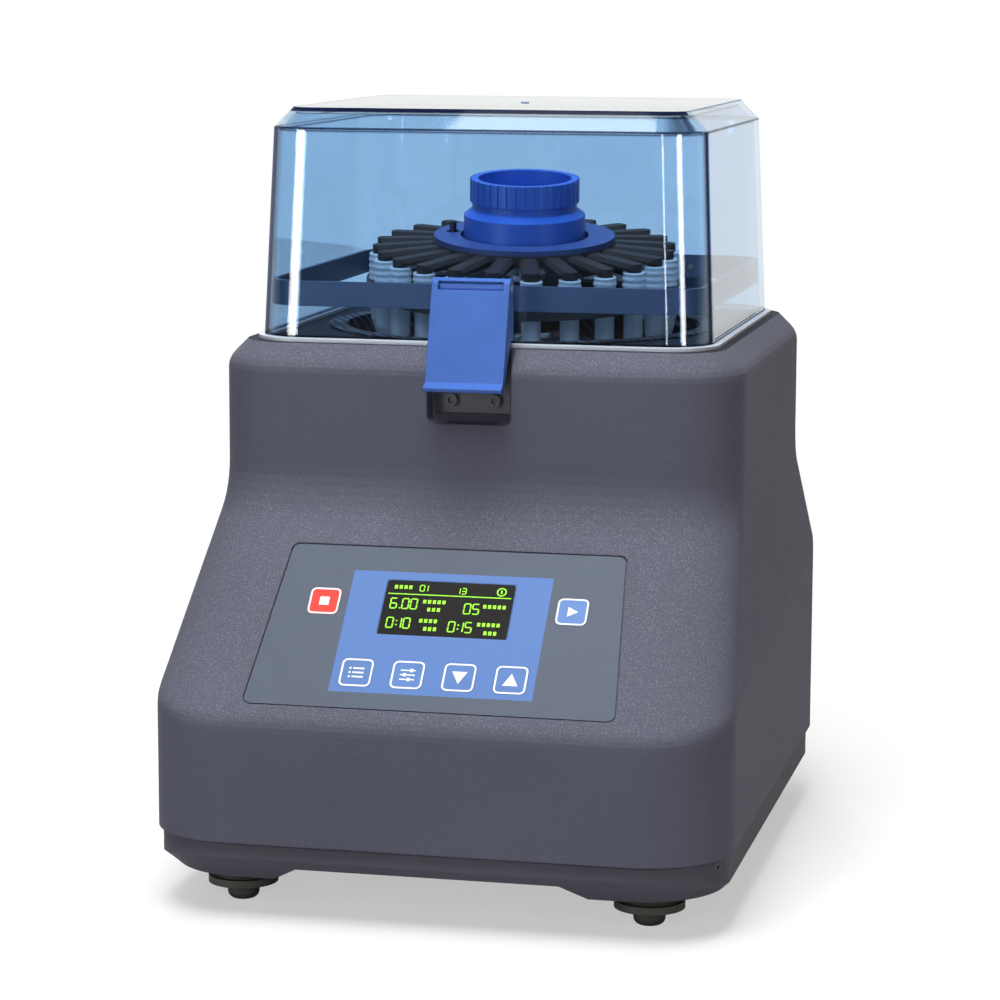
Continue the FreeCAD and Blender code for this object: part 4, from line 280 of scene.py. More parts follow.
@dataclass(frozen=True)
class PebbledShellWithGlints:
    """The housing's painted structural plastic: pebbled grain on a slate ground, with painted glints: pale specks
    shown only on faces that look up.
    """

    name: str
    ground: Colour
    glint_colour: Colour
    roughness: float = 0.55
    pebble: float = 620.0
    depth: float = 0.00012
    edge: float = 0.0015
    specular: float = 0.03
    deck: float = 0.0
    deck_colour: Colour = (0.022, 0.026, 0.036)

    def make(self) -> bpy.types.Material:
        """Build the material. Pale specks, which are painted glints, show where it looks up, and a level face
        above the deck is dark.
        """
        sheet = NodeSheet(self.name)
        pebbles = sheet.noise(self.pebble, 4.0, 0.62)
        glint_and_bump_noise = sheet.noise(2300.0, 1.0, 0.5)
        broad = sheet.noise(9.0, 2.0)
        ground = sheet.blend(sheet.remap(broad, 0.0, 1.0), tuple(c * 0.95 for c in self.ground),
                             tuple(c * 1.05 for c in self.ground))
        rise = sheet.normal()["Z"]
        # Painted glints: the pale speck colour shows only on faces that look up, in small spots of the speck
        # noise.
        glint_on_faces_up = sheet.remap(rise, 0.14, 0.75, 0.1, 0.6)
        painted_glints = sheet.product(sheet.remap(glint_and_bump_noise, 0.0, 1.0, 0.60, 0.76), glint_on_faces_up)
        tone = sheet.blend(painted_glints, ground, self.glint_colour)
        if self.deck:
            level = sheet.math("GREATER_THAN", rise, 0.95)
            high = sheet.math("GREATER_THAN", sheet.parts(sheet.place())["Z"], self.deck)
            tone = sheet.blend(sheet.product(level, high), tone, self.deck_colour)
        shader = sheet.add("ShaderNodeBsdfPrincipled", {"Specular IOR Level": self.specular})
        sheet.wire(tone, shader.inputs["Base Color"])
        rough = sheet.remap(pebbles, self.roughness - 0.08, self.roughness + 0.1)
        sheet.wire(rough, shader.inputs["Roughness"])
        height = sheet.math("ADD", pebbles, sheet.product(glint_and_bump_noise, 0.35))
        sheet.wire(sheet.bump(height, self.depth, 1.0, self.edge), shader.inputs["Normal"])
        return sheet.surface(shader.outputs[0])


@dataclass(frozen=True)
class Metal:
    """Machined or brushed metal with fine directional marks."""

    name: str
    colour: Colour
    roughness: float = 0.32
    along: Place = (1.0, 1.0, 0.06)
    depth: float = 0.00001
    metallic: float = 1.0

    def make(self) -> bpy.types.Material:
        """Build the material."""
        sheet = NodeSheet(self.name)
        marks = sheet.noise(1400.0, 3.0, 0.6, self.along)
        broad = sheet.noise(60.0, 2.0)
        tone = sheet.blend(sheet.remap(broad, 0.0, 1.0), tuple(c * 0.9 for c in self.colour), self.colour)
        shader = sheet.add("ShaderNodeBsdfPrincipled", {"Metallic": self.metallic})
        sheet.wire(tone, shader.inputs["Base Color"])
        rough = sheet.remap(marks, self.roughness - 0.08, self.roughness + 0.1)
        sheet.wire(rough, shader.inputs["Roughness"])
        sheet.wire(sheet.bump(marks, self.depth, 0.6, 0.0003), shader.inputs["Normal"])
        return sheet.surface(shader.outputs[0])


@dataclass(frozen=True)
class TintedClear:
    """Clear blue-tinted plastic sheet: its edges show dark, and it mirrors at a low angle.

    Heights and radii are in metres: the crest is where the front chamfer turns dark below the top, and the
    belt is the line between the chamfer and the front wall.
    """

    name: str
    tint: Colour
    edge_tint: Colour
    passing: Colour = (0.92, 0.96, 1.0)
    mirrored: Colour = (0.92, 0.91, 0.88)
    gloss: float = 0.03
    straight: float = 0.045
    edge: float = 0.0016
    line: float = 0.0021
    front_half: float = 0.0
    crest: float = 0.4161
    belt: float = 0.4072
    top: float = 0.4180

    def edges(self, sheet: NodeSheet) -> bpy.types.NodeSocket:
        """Give a mask of the sharp edges: where the softened normal differs from the true one.

        Args:
            sheet: the material's tree.

        Returns:
            The mask socket, 1 on an edge.
        """
        soft = sheet.add("ShaderNodeBevel", {"Radius": self.line}, samples=6)
        flat = sheet.add("ShaderNodeNewGeometry")
        dot = sheet.add("ShaderNodeVectorMath", operation="DOT_PRODUCT")
        sheet.wire(soft.outputs[0], dot.inputs[0])
        sheet.wire(flat.outputs["Normal"], dot.inputs[1])
        return sheet.remap(dot.outputs["Value"], 1.0, 0.0, 0.965, 0.9940)

    def ends(self, sheet: NodeSheet, facing: bpy.types.NodeSocket,
             normal: bpy.types.bpy_prop_collection) -> bpy.types.NodeSocket:
        """Give a mask of the upright corners where the sheet is seen nearly edge-on.

        Args:
            sheet: the material's tree.
            facing: how far the surface turns away.
            normal: the sockets of the surface's direction.

        Returns:
            The mask socket.
        """
        sideways = sheet.math("ABSOLUTE", normal["X"])
        before_wall = sheet.remap(sideways, 1.0, 0.0, 0.984, 0.995)
        upright = sheet.remap(sheet.math("ABSOLUTE", normal["Z"]), 1.0, 0.0, 0.15, 0.30)
        rising = sheet.math("POWER", sheet.remap(sideways, 0.0, 1.0, 0.860, 0.955), 2.0)
        strip = sheet.product(rising, sheet.remap(facing, 0.0, 1.0, 0.28, 0.42))
        turned = sheet.remap(facing, 0.0, 0.92, 0.38, 0.62)
        return sheet.product(sheet.math("MAXIMUM", strip, turned), before_wall, upright)

    def facet(self, sheet: NodeSheet, ahead: bpy.types.NodeSocket,
              normal: bpy.types.bpy_prop_collection) -> bpy.types.NodeSocket:
        """Give a mask of the chamfer's right corner facets, with a darker ridge at the front one's end.

        Args:
            sheet: the material's tree.
            ahead: 1 on the outer side of the lid's front half.
            normal: the sockets of the surface's direction.

        Returns:
            The mask socket.
        """
        broad = sheet.product(sheet.remap(normal["X"], 0.0, 0.48, 0.10, 0.38),
                              sheet.remap(normal["X"], 1.0, 0.0, 0.50, 0.62))
        ridge = sheet.product(sheet.remap(normal["X"], 0.0, 0.85, 0.42, 0.50),
                              sheet.remap(normal["X"], 1.0, 0.0, 0.56, 0.62), ahead)
        sloping = sheet.product(sheet.remap(normal["Z"], 0.0, 1.0, 0.35, 0.50),
                                sheet.remap(normal["Z"], 1.0, 0.0, 0.80, 0.92))
        return sheet.product(sheet.math("MAXIMUM", broad, ridge), sloping)

    def lines(self, sheet: NodeSheet, height: bpy.types.NodeSocket,
              normal: bpy.types.bpy_prop_collection) -> bpy.types.NodeSocket:
        """Give a mask of the two level lines on the front, the crest and the belt.

        Args:
            sheet: the material's tree.
            height: the place's height.
            normal: the sockets of the surface's direction.

        Returns:
            The mask socket.
        """
        crest = sheet.product(sheet.remap(height, 0.0, 1.0, self.crest - 0.0007, self.crest),
                              sheet.math("LESS_THAN", normal["Z"], 0.9))
        off_belt = sheet.math("ABSOLUTE", sheet.math("SUBTRACT", height, self.belt))
        belt = sheet.remap(off_belt, 0.9, 0.0, 0.0003, 0.0007)
        return sheet.product(sheet.math("MAXIMUM", crest, belt), sheet.math("LESS_THAN", normal["Y"], -0.3))

    def rim(self, sheet: NodeSheet, facing: bpy.types.NodeSocket) -> bpy.types.NodeSocket:
        """Give the mask of everything dark. The moulding mark, above the lid's top, is only faintly so.

        Args:
            sheet: the material's tree.
            facing: how far the surface turns away.

        Returns:
            The mask socket.
        """
        shape = sheet.add("ShaderNodeNewGeometry").outputs
        normal = sheet.parts(shape["Normal"])
        spot = sheet.parts(sheet.place())
        outer = sheet.math("SUBTRACT", 1.0, shape["Backfacing"])
        ahead = sheet.product(outer, sheet.math("LESS_THAN", spot["Y"], self.front_half))
        rim = sheet.math("MAXIMUM", self.edges(sheet), self.facet(sheet, ahead, normal))
        rim = sheet.math("MAXIMUM", rim, sheet.product(self.ends(sheet, facing, normal), ahead))
        rim = sheet.math("MAXIMUM", rim, sheet.product(self.lines(sheet, spot["Z"], normal), outer))
        return sheet.product(rim, sheet.remap(spot["Z"], 1.0, 0.2, self.top, self.top + 0.0001))

    def make(self) -> bpy.types.Material:
        """Build the material. The mirrored share grows with the fifth power of the turning away."""
        sheet = NodeSheet(self.name)
        facing = sheet.add("ShaderNodeLayerWeight", {"Blend": 0.5}).outputs["Facing"]
        fifth = sheet.math("POWER", facing, 5.0)
        share = sheet.math("ADD", sheet.product(fifth, 1.0 - self.straight), self.straight)
        rim = self.rim(sheet, facing)
        cloud = sheet.remap(sheet.noise(9.0, 1.0), 0.0, 1.0)
        tint = sheet.blend(cloud, self.tint, tuple(c * 0.97 for c in self.tint))
        shadow = sheet.add("ShaderNodeLightPath").outputs["Is Shadow Ray"]
        seen = sheet.blend(rim, tint, self.edge_tint)
        through = sheet.add("ShaderNodeBsdfTransparent")
        sheet.wire(sheet.blend(shadow, seen, self.passing), through.inputs["Color"])
        waves = sheet.noise(22.0, 1.0, 0.4, (1.0, 1.0, 0.35))
        mirror = sheet.add("ShaderNodeBsdfGlossy", {"Roughness": self.gloss, "Color": (*self.mirrored, 1.0)})
        sheet.wire(sheet.bump(waves, 0.00012, 0.5, self.edge), mirror.inputs["Normal"])
        mix = sheet.add("ShaderNodeMixShader")
        clear = sheet.math("SUBTRACT", 1.0, sheet.product(rim, 0.85))
        sheet.wire(sheet.product(share, clear), mix.inputs[0])
        sheet.wire(through.outputs[0], mix.inputs[1])
        sheet.wire(mirror.outputs[0], mix.inputs[2])
        return sheet.surface(mix.outputs[0])


@dataclass(frozen=True)
class Translucent:
    """Milky polypropylene: part see-through, with a soft sheen and a faint painted glow in its own colour,
    standing for light scattered inside.
    """

    name: str
    colour: Colour
    opacity: float
    roughness: float = 0.28
    painted_glow: float = 0.0

    def make(self) -> bpy.types.Material:
        """Build the material."""
        sheet = NodeSheet(self.name)
        cloud = sheet.noise(180.0, 2.0)
        tone = sheet.blend(sheet.remap(cloud, 0.0, 1.0), tuple(c * 0.88 for c in self.colour), self.colour)
        # Emission Strength is a painted glow: the plastic glows faintly in its own colour though it is no lamp.
        shader = sheet.add("ShaderNodeBsdfPrincipled", {"Roughness": self.roughness, "Alpha": self.opacity,
                                                       "Emission Strength": self.painted_glow})
        sheet.wire(tone, shader.inputs["Base Color"])
        sheet.wire(tone, shader.inputs["Emission Color"])
        sheet.wire(sheet.bump(cloud, 0.0001, 0.5), shader.inputs["Normal"])
        return sheet.surface(shader.outputs[0])


@dataclass(frozen=True)
class PlateWithPaintedReflections:
    """A dark plate with pale flowing lines in the line colour: painted reflections."""

    name: str
    ground: Colour
    line: Colour
    per_metre: float = 95.0
    roughness: float = 0.5

    def make(self) -> bpy.types.Material:
        """Build the material."""
        sheet = NodeSheet(self.name)
        waves = sheet.add("ShaderNodeTexWave", {"Scale": self.per_metre, "Distortion": 7.0, "Detail": 2.0,
                                                "Detail Scale": 0.35, "Detail Roughness": 0.55},
                          wave_type="BANDS", bands_direction="DIAGONAL")
        sheet.wire(sheet.place((1.0, 0.55, 1.0)), waves.inputs["Vector"])
        reflection_patches = sheet.remap(sheet.noise(26.0, 2.0), 0.0, 1.0, 0.40, 0.62)
        # Painted reflections: pale flowing lines, shown in patches, blend the ground towards the line colour.
        lines = sheet.product(sheet.remap(waves.outputs[1], 0.0, 0.8, 0.45, 1.0), reflection_patches)
        shader = sheet.add("ShaderNodeBsdfPrincipled", {"Specular IOR Level": 0.05})
        sheet.wire(sheet.blend(lines, self.ground, self.line), shader.inputs["Base Color"])
        rough = sheet.remap(lines, self.roughness, self.roughness - 0.12, 0.0, 1.0)
        sheet.wire(rough, shader.inputs["Roughness"])
        sheet.wire(sheet.bump(lines, 0.00003, 0.4), shader.inputs["Normal"])
        return sheet.surface(shader.outputs[0])


@dataclass(frozen=True)
class PanelFilm:
    """The printed membrane: a grey field with a lighter blue window printed round the display."""

    name: str
    ground: Colour
    window: Colour
    origin: Place
    slope: float
    half_width: float
    top: float
    bottom: float

    def make(self) -> bpy.types.Material:
        """Build the material. The window is where the place down the slope and across lie in its range."""
        sheet = NodeSheet(self.name)
        spot = sheet.parts(sheet.place())
        run = sheet.product(sheet.math("SUBTRACT", self.origin[1], spot["Y"]), math.cos(self.slope))
        drop = sheet.product(sheet.math("SUBTRACT", self.origin[2], spot["Z"]), math.sin(self.slope))
        down = sheet.math("ADD", run, drop)
        middle = (self.top + self.bottom) / 2
        tall = sheet.math("LESS_THAN", sheet.math("ABSOLUTE", sheet.math("SUBTRACT", down, middle)),
                          (self.bottom - self.top) / 2)
        wide = sheet.math("LESS_THAN", sheet.math("ABSOLUTE", spot["X"]), self.half_width)
        inside = sheet.product(tall, wide)
        cloud = sheet.noise(70.0, 2.0)
        ground = sheet.blend(sheet.remap(cloud, 0.0, 1.0), tuple(c * 0.96 for c in self.ground), self.ground)
        fine = sheet.noise(2600.0, 2.0, 0.5)
        shader = sheet.add("ShaderNodeBsdfPrincipled", {"Specular IOR Level": 0.2})
        sheet.wire(sheet.blend(inside, ground, self.window), shader.inputs["Base Color"])
        sheet.wire(sheet.remap(fine, 0.36, 0.46), shader.inputs["Roughness"])
        sheet.wire(sheet.bump(fine, 0.00001, 0.4), shader.inputs["Normal"])
        return sheet.surface(shader.outputs[0])


@dataclass(frozen=True)
class Lens:
    """The display's dark window, with rounded corners inside the printed blue."""

    name: str
    dark: Colour
    border: Colour
    radius: float = 0.0019
    inset: float = 0.0003

    def overshoot(self, sheet: NodeSheet, place: bpy.types.NodeSocket, low: float, high: float,
                  stretch: float) -> bpy.types.NodeSocket:
        """Give how far a place lies past the centre of the nearer corner circle, along one axis.

        Args:
            sheet: the material's tree.
            place: the coordinate's socket.
            low: the box's low end.
            high: the box's high end.
            stretch: the length on the window for one metre of the coordinate.

        Returns:
            The distance's socket, 0 between the circles' centres.
        """
        reach = (high - low) / 2 * stretch - self.radius - self.inset
        beside = sheet.math("ABSOLUTE", sheet.math("SUBTRACT", place, (high + low) / 2))
        return sheet.math("MAXIMUM", sheet.math("SUBTRACT", sheet.product(beside, stretch), reach), 0.0)

    def make(self) -> bpy.types.Material:
        """Build the material. Outside the corner circles of the window's box the border's colour shows."""
        low, high = (Vector(corner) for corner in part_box("display_window"))
        sheet = NodeSheet(self.name)
        spot = sheet.parts(sheet.place())
        out_x = self.overshoot(sheet, spot["X"], low.x, high.x, 1.0)
        out_z = self.overshoot(sheet, spot["Z"], low.z, high.z, math.sqrt(2.0))
        squares = sheet.math("ADD", sheet.product(out_x, out_x), sheet.product(out_z, out_z))
        outside = sheet.math("GREATER_THAN", squares, self.radius ** 2)
        fine = sheet.noise(900.0, 1.0)
        shader = sheet.add("ShaderNodeBsdfPrincipled", {"Specular IOR Level": 0.12})
        sheet.wire(sheet.blend(outside, self.dark, self.border), shader.inputs["Base Color"])
        sheet.wire(sheet.remap(fine, 0.24, 0.34), shader.inputs["Roughness"])
        sheet.wire(sheet.bump(fine, 0.000005, 0.3), shader.inputs["Normal"])
        return sheet.surface(shader.outputs[0])


@dataclass(frozen=True)
class GlowingInk:
    """Lit display segments."""

    name: str
    colour: Colour
    strength: float = 0.8

    def make(self) -> bpy.types.Material:
        """Build the material."""
        sheet = NodeSheet(self.name)
        cloud = sheet.noise(400.0, 1.0)
        tone = sheet.blend(sheet.remap(cloud, 0.0, 1.0), tuple(c * 0.8 for c in self.colour), self.colour)
        shader = sheet.add("ShaderNodeBsdfPrincipled",
                           {"Roughness": 0.5, "Emission Strength": self.strength})
        sheet.wire(tone, shader.inputs["Base Color"])
        sheet.wire(tone, shader.inputs["Emission Color"])
        return sheet.surface(shader.outputs[0])


PRINTED_BLUE: Colour = (0.104, 0.205, 0.480)
WHITE_INK = Moulded("white_ink", (0.86, 0.88, 0.90), 0.45, depth=0.000005, mottle=0.02, edge=0.0)
GREEN_GLOW = GlowingInk("green_glow", (0.27, 0.72, 0.03))
# The caps get a faint painted glow.
CAP_PLASTIC = Translucent("cap_plastic", (0.70, 0.85, 1.0), 0.62, painted_glow=0.08)

FINISHES: dict[str, object] = {
    # The shell's and the tray's third colour is the pale colour of their painted glints.
    "textured_shell": PebbledShellWithGlints("slate_shell", (0.104, 0.109, 0.146), (0.42, 0.46, 0.52), deck=0.2905),
    "dark_tray": PebbledShellWithGlints("slate_tray", (0.098, 0.096, 0.118), (0.24, 0.24, 0.28), edge=0.001),
    "foot_rubber": Moulded("foot_rubber", (0.040, 0.038, 0.028), 0.7, depth=0.00008),
    "zinc_steel": Metal("zinc_steel", (0.60, 0.61, 0.63)),
    "black_steel": Metal("black_steel", (0.020, 0.025, 0.036), 0.5, metallic=0.3),
    "silicone": Moulded("pale_silicone", (0.58, 0.64, 0.74), 0.42, depth=0.00003, edge=0.0008),
    "clear_lid": TintedClear("clear_lid", (0.742, 0.862, 0.970), (0.022, 0.032, 0.092)),
    "blue_frame": Moulded("navy_frame", (0.078, 0.112, 0.205), 0.45, specular=0.3),
    "latch_blue": Moulded("latch_blue", (0.048, 0.138, 0.480), 0.40, grain=900.0, depth=0.00002,
                          specular=0.40, edge=0.0012),
    "panel_film": PanelFilm("panel_film", (0.098, 0.119, 0.160), PRINTED_BLUE,
                            (0.0, -0.0925, 0.210), math.radians(45.0), 0.054, 0.047, 0.1236),
    "stop_red": Moulded("stop_red", (0.93, 0.070, 0.055), 0.45, depth=0.00001, edge=0.0, specular=0.2),
    "start_blue": Moulded("start_blue", (0.145, 0.260, 0.570), 0.45, depth=0.00001, edge=0.0, specular=0.2),
    "key_blue": Moulded("key_blue", (0.112, 0.215, 0.480), 0.45, depth=0.00001, edge=0.0, specular=0.2),
    "display_lens": Lens("display_lens", (0.006, 0.006, 0.005), PRINTED_BLUE),
    "electronics": Moulded("board_green", (0.02, 0.16, 0.07), 0.4),
    "module_case": Metal("module_case", (0.55, 0.56, 0.58), 0.4),
    # The bowl plate's pale flowing lines are painted reflections.
    "bowl_metal": PlateWithPaintedReflections("dark_plate", (0.020, 0.024, 0.034), (0.16, 0.19, 0.26)),
    "rotor_alloy": Metal("holder_alloy", (0.035, 0.036, 0.042), 0.5, metallic=0.3),
    "rotor_black": Moulded("clamp_black", (0.042, 0.036, 0.037), 0.55, edge=0.0010, specular=0.2),
    "rotor_blue": Moulded("knob_blue", (0.046, 0.154, 0.635), 0.42, grain=900.0, depth=0.00002,
                          specular=0.35, edge=0.0008),
    "disc_blue": Moulded("disc_blue", (0.055, 0.094, 0.275), 0.5, grain=900.0, depth=0.00002, specular=0.25),
    # The tubes get a fainter painted glow.
    "tube_clear": Translucent("tube_plastic", (0.76, 0.87, 1.0), 0.58, painted_glow=0.04),
    "cap_clear": CAP_PLASTIC,
    "motor_paint": Moulded("motor_paint", (0.05, 0.05, 0.06), 0.45),
    "black_plastic": Moulded("black_plastic", (0.02, 0.02, 0.02), 0.5),
}

FINISHED_AS = {"latch_bracket": "latch_blue", "plate_disc": "disc_blue"}


@dataclass
class Sheet:
    """Vertices and faces that grow as shapes are added."""

    vertices: list[np.ndarray] = field(default_factory=list)
    faces: list[np.ndarray] = field(default_factory=list)
    count: int = 0

    def add(self, points: np.ndarray, faces: np.ndarray) -> None:
        """Add a shape.

        Args:
            points: its vertices, one row each.
            faces: its faces as rows of vertex numbers.
        """
        self.vertices.append(points)
        self.faces.append(faces + self.count)
        self.count += len(points)

    def object(self, name: str, finish: bpy.types.Material, body: Body, smooth: bool = False) -> bpy.types.Object:
        """Make the object and let it ride.

        Args:
            name: the piece's name.
            finish: its material.
            body: the body it rides on.
            smooth: whether it is shaded smooth.

        Returns:
            The new object.
        """
        mesh = bpy.data.meshes.new(name)
        points = np.concatenate(self.vertices)
        faces = [tuple(row) for block in self.faces for row in block.tolist()]
        mesh.from_pydata(points.tolist(), [], faces)
        mesh.validate()
        mesh.polygons.foreach_set("use_smooth", np.full(len(mesh.polygons), smooth))
        mesh.materials.append(finish)
        piece = bpy.data.objects.new(name, mesh)
        bpy.context.scene.collection.objects.link(piece)
        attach(piece, body.value)
        LOG.info("%s: %d vertices", name, len(points))
        return piece


def rounded_outline(half_width: float, half_height: float, radius: float, steps: int = 6) -> np.ndarray:
    """Points round a rounded rectangle: each corner is a quarter circle about its own centre.

    Args:
        half_width: half of its width.
        half_height: half of its height.
        radius: the corner's radius.
        steps: arc steps at a corner.

    Returns:
        An array of (x, y) rows, anticlockwise.
    """
    quarter = np.linspace(0.0, math.pi / 2, steps + 1)
    turns = np.concatenate([quarter + k * math.pi / 2 for k in range(4)])
    signs = np.repeat(np.array([[1, 1], [-1, 1], [-1, -1], [1, -1]], float), steps + 1, axis=0)
    centres = signs * np.array([half_width - radius, half_height - radius])
    return centres + radius * np.stack([np.cos(turns), np.sin(turns)], axis=1)


def band_faces(count: int) -> np.ndarray:
    """Quads between an outer loop, first, and an inner loop of the same count."""
    index = np.arange(count)
    after = (index + 1) % count
    return np.stack([index, after, after + count, index + count], axis=1)


@dataclass(frozen=True)
class PanelPlane:
    """The sloping panel: places are given across it and down it from the bend."""

    bend_y: float = -92.5
    bend_z: float = 210.0
    slope: float = math.radians(45.0)

    def at(self, flat: np.ndarray, lift: float) -> np.ndarray:
        """Put flat points on the slope.

        Args:
            flat: rows of (across, down) in millimetres.
            lift: the height above the slope in millimetres.

        Returns:
            Rows of (x, y, z) in metres.
        """
        across, down = flat[:, 0], flat[:, 1]
        y = self.bend_y - down * math.cos(self.slope) - lift * math.sin(self.slope)
        z = self.bend_z - down * math.sin(self.slope) + lift * math.cos(self.slope)
        return np.stack([across, y, z], axis=1) * MM


class Glyph:
    """Seven-segment figures drawn as bars: each bar is a centre and a half size on a unit cell."""

    BARS = {
        "a": (0.5, 0.0, 1, 0), "b": (1.0, 0.25, 0, 1), "c": (1.0, 0.75, 0, 1), "d": (0.5, 1.0, 1, 0),
        "e": (0.0, 0.75, 0, 1), "f": (0.0, 0.25, 0, 1), "g": (0.5, 0.5, 1, 0),
    }
    FIGURES = {
        "0": "abcdef", "1": "bc", "2": "abged", "3": "abgcd", "4": "fgbc",
        "5": "afgcd", "6": "afgedc", "7": "abc", "8": "abcdefg", "9": "abcdfg",
    }

    @classmethod
    def rectangles(cls, text: str, left: float, top: float, width: float, height: float,
                   stroke: float) -> np.ndarray:
        """Lay out a number.

        Args:
            text: figures, colons and points.
            left: the first figure's left edge.
            top: the figures' top edge.
            width: a figure's width.
            height: a figure's height.
            stroke: a bar's width.

        Returns:
            Rows of (centre x, centre y, half width, half height).
        """
        rows = []
        for letter in text:
            if letter in ":.":
                spots = (0.3, 0.7) if letter == ":" else (0.96,)
                rows += [(left + stroke, top + spot * height, stroke * 0.55, stroke * 0.55) for spot in spots]
                left += 2.6 * stroke
                continue
            if letter == "1":
                left -= 0.55 * width
            for name in cls.FIGURES[letter]:
                cx, cy, flat, tall = cls.BARS[name]
                half_w = (width / 2 - stroke * 0.3) if flat else stroke / 2
                half_h = (height / 4 - stroke * 0.3) if tall else stroke / 2
                rows.append((left + cx * width, top + cy * height, half_w, half_h))
            left += width + 1.7 * stroke
        return np.array(rows)


@dataclass
class ControlPanel:
    """The printed marks on the keys and the figures on the display."""

    plane: PanelPlane = field(default_factory=PanelPlane)
    row_down: float = 111.5
    row_pitch: float = 27.4
    side_x: float = 66.8
    side_down: float = 67.6
    row_size: float = 17.0
    side_size: float = 16.5
    line: float = 1.0
    corner: float = 3.1
    lift: float = 0.04
    glass_lift: float = -0.04
    thickness: float = 0.03
    large: tuple[float, float, float] = (3.35, 6.3, 0.7)
    small: tuple[float, float, float] = (2.3, 3.7, 0.55)
    figures: tuple[tuple[str, float, float, bool], ...] = (
        ("01", -16.5, 55.0, False), ("13", 4.2, 55.8, False), ("6.00", -30.8, 63.9, True),
        ("05", 9.2, 65.5, True), ("0:10", -30.8, 76.2, True), ("0:15", 2.6, 77.2, True),
    )
    divider: tuple[float, float, float, float] = (0.0, 61.0, 33.2, 0.28)
    block_rows: tuple[tuple[float, float, int], ...] = (
        (-29.5, 56.6, 4), (-12.6, 65.3, 5), (-9.6, 70.2, 3), (20.0, 66.8, 5), (-12.6, 77.4, 4),
        (-9.6, 82.4, 3), (18.6, 78.2, 5), (22.8, 83.4, 3),
    )
    block_pitch: float = 2.6
    block_half: tuple[float, float] = (0.85, 1.15)
    ring_place: tuple[float, float] = (27.6, 57.2)
    ring_radius: float = 2.7
    ring_line: float = 0.75

    def outline(self, sheet: Sheet, x: float, down: float, size: float) -> None:
        """Add a key's white outline, a band between two rounded squares."""
        outer = rounded_outline(size / 2, size / 2, self.corner)
        inner = rounded_outline(size / 2 - self.line, size / 2 - self.line, self.corner - self.line)
        flat = np.concatenate([outer, inner]) + np.array([x, down])
        sheet.add(self.plane.at(flat, self.lift), band_faces(len(outer)))

    def bars(self, sheet: Sheet, rows: np.ndarray, lift: float) -> None:
        """Add upright bars given as centre and half size."""
        signs = np.array([[-1, -1], [-1, 1], [1, 1], [1, -1]], float)
        flat = (rows[:, None, :2] + signs[None] * rows[:, None, 2:]).reshape(-1, 2)
        faces = np.arange(len(flat)).reshape(-1, 4)
        sheet.add(self.plane.at(flat, lift), faces)

    def polygon(self, sheet: Sheet, flat: np.ndarray) -> None:
        """Add a flat polygon."""
        sheet.add(self.plane.at(flat, self.lift), np.arange(len(flat))[None])

    def finish_sheet(self, piece: bpy.types.Object) -> None:
        """Give a printed sheet its thickness, outwards."""
        solid = piece.modifiers.new("thickness", "SOLIDIFY")
        solid.thickness = self.thickness * MM
        solid.offset = 0.0

    def build(self) -> None:
        """Build the marks of every key and the display's figures."""
        white = WHITE_INK.make()
        left = [(k - 1.5) * self.row_pitch for k in range(4)]
        keys = [
            (Body.STOP, -self.side_x, self.side_down, self.side_size),
            (Body.START, self.side_x, self.side_down, self.side_size),
            (Body.PROGRAM, left[0], self.row_down, self.row_size),
            (Body.SETTINGS, left[1], self.row_down, self.row_size),
            (Body.DOWN, left[2], self.row_down, self.row_size),
            (Body.UP, left[3], self.row_down, self.row_size),
        ]
        for body, x, down, size in keys:
            sheet = Sheet()
            self.outline(sheet, x, down, size)
            self.symbol(sheet, body, x, down)
            piece = sheet.object(body.value + "_print", white, body)
            self.finish_sheet(piece)
        self.display()

    def symbol(self, sheet: Sheet, body: Body, x: float, down: float) -> None:
        """Add a key's plain symbol: a square, a triangle, list lines or sliders."""
        place = np.array([x, down])
        if body is Body.STOP:
            self.bars(sheet, np.array([[x, down, 2.6, 2.6]]), self.lift)
        elif body is Body.START:
            self.polygon(sheet, place + np.array([[-2.4, -3.1], [-2.4, 3.1], [3.2, 0.0]]))
        elif body is Body.PROGRAM:
            lines = [[x + 0.9, down + k * 2.6, 3.0, 0.5] for k in (-1, 0, 1)]
            dots = [[x - 3.6, down + k * 2.6, 0.55, 0.55] for k in (-1, 0, 1)]
            self.bars(sheet, np.array(lines + dots), self.lift)
        elif body is Body.SETTINGS:
            lines = [[x, down + k * 2.8, 4.0, 0.35] for k in (-1, 0, 1)]
            knobs = [[x + s, down + k * 2.8, 0.8, 1.05] for k, s in ((-1, 1.8), (0, -1.6), (1, 0.8))]
            self.bars(sheet, np.array(lines + knobs), self.lift)
        else:
            sign = 1.0 if body is Body.UP else -1.0
            triangle = np.array([[-4.1, 3.6], [4.1, 3.6], [0.0, -3.9]]) * np.array([1.0, sign])
            self.polygon(sheet, place + triangle[::int(sign)])

    def display(self) -> None:
        """Add the display's figures, its divider line, level blocks and a ring symbol."""
        sheet = Sheet()
        blocks = [Glyph.rectangles(text, x, down, *(self.large if tall else self.small))
                  for text, x, down, tall in self.figures]
        blocks.append(np.array([self.divider]))
        for x, down, count in self.block_rows:
            row = np.tile(np.array([x, down, *self.block_half]), (count, 1))
            row[:, 0] += np.arange(count) * self.block_pitch
            blocks.append(row)
        self.bars(sheet, np.concatenate(blocks), self.glass_lift)
        inside = self.ring_radius - self.ring_line
        ring = np.concatenate([rounded_outline(self.ring_radius, self.ring_radius, self.ring_radius - 0.01),
                               rounded_outline(inside, inside, inside - 0.01)])
        ring += np.array(self.ring_place)
        sheet.add(self.plane.at(ring, self.glass_lift), band_faces(len(ring) // 2))
        self.bars(sheet, np.array([[*self.ring_place, 0.4, 1.1]]), self.glass_lift)
        piece = sheet.object("display_figures", GREEN_GLOW.make(), Body.HOUSING)
        self.finish_sheet(piece)


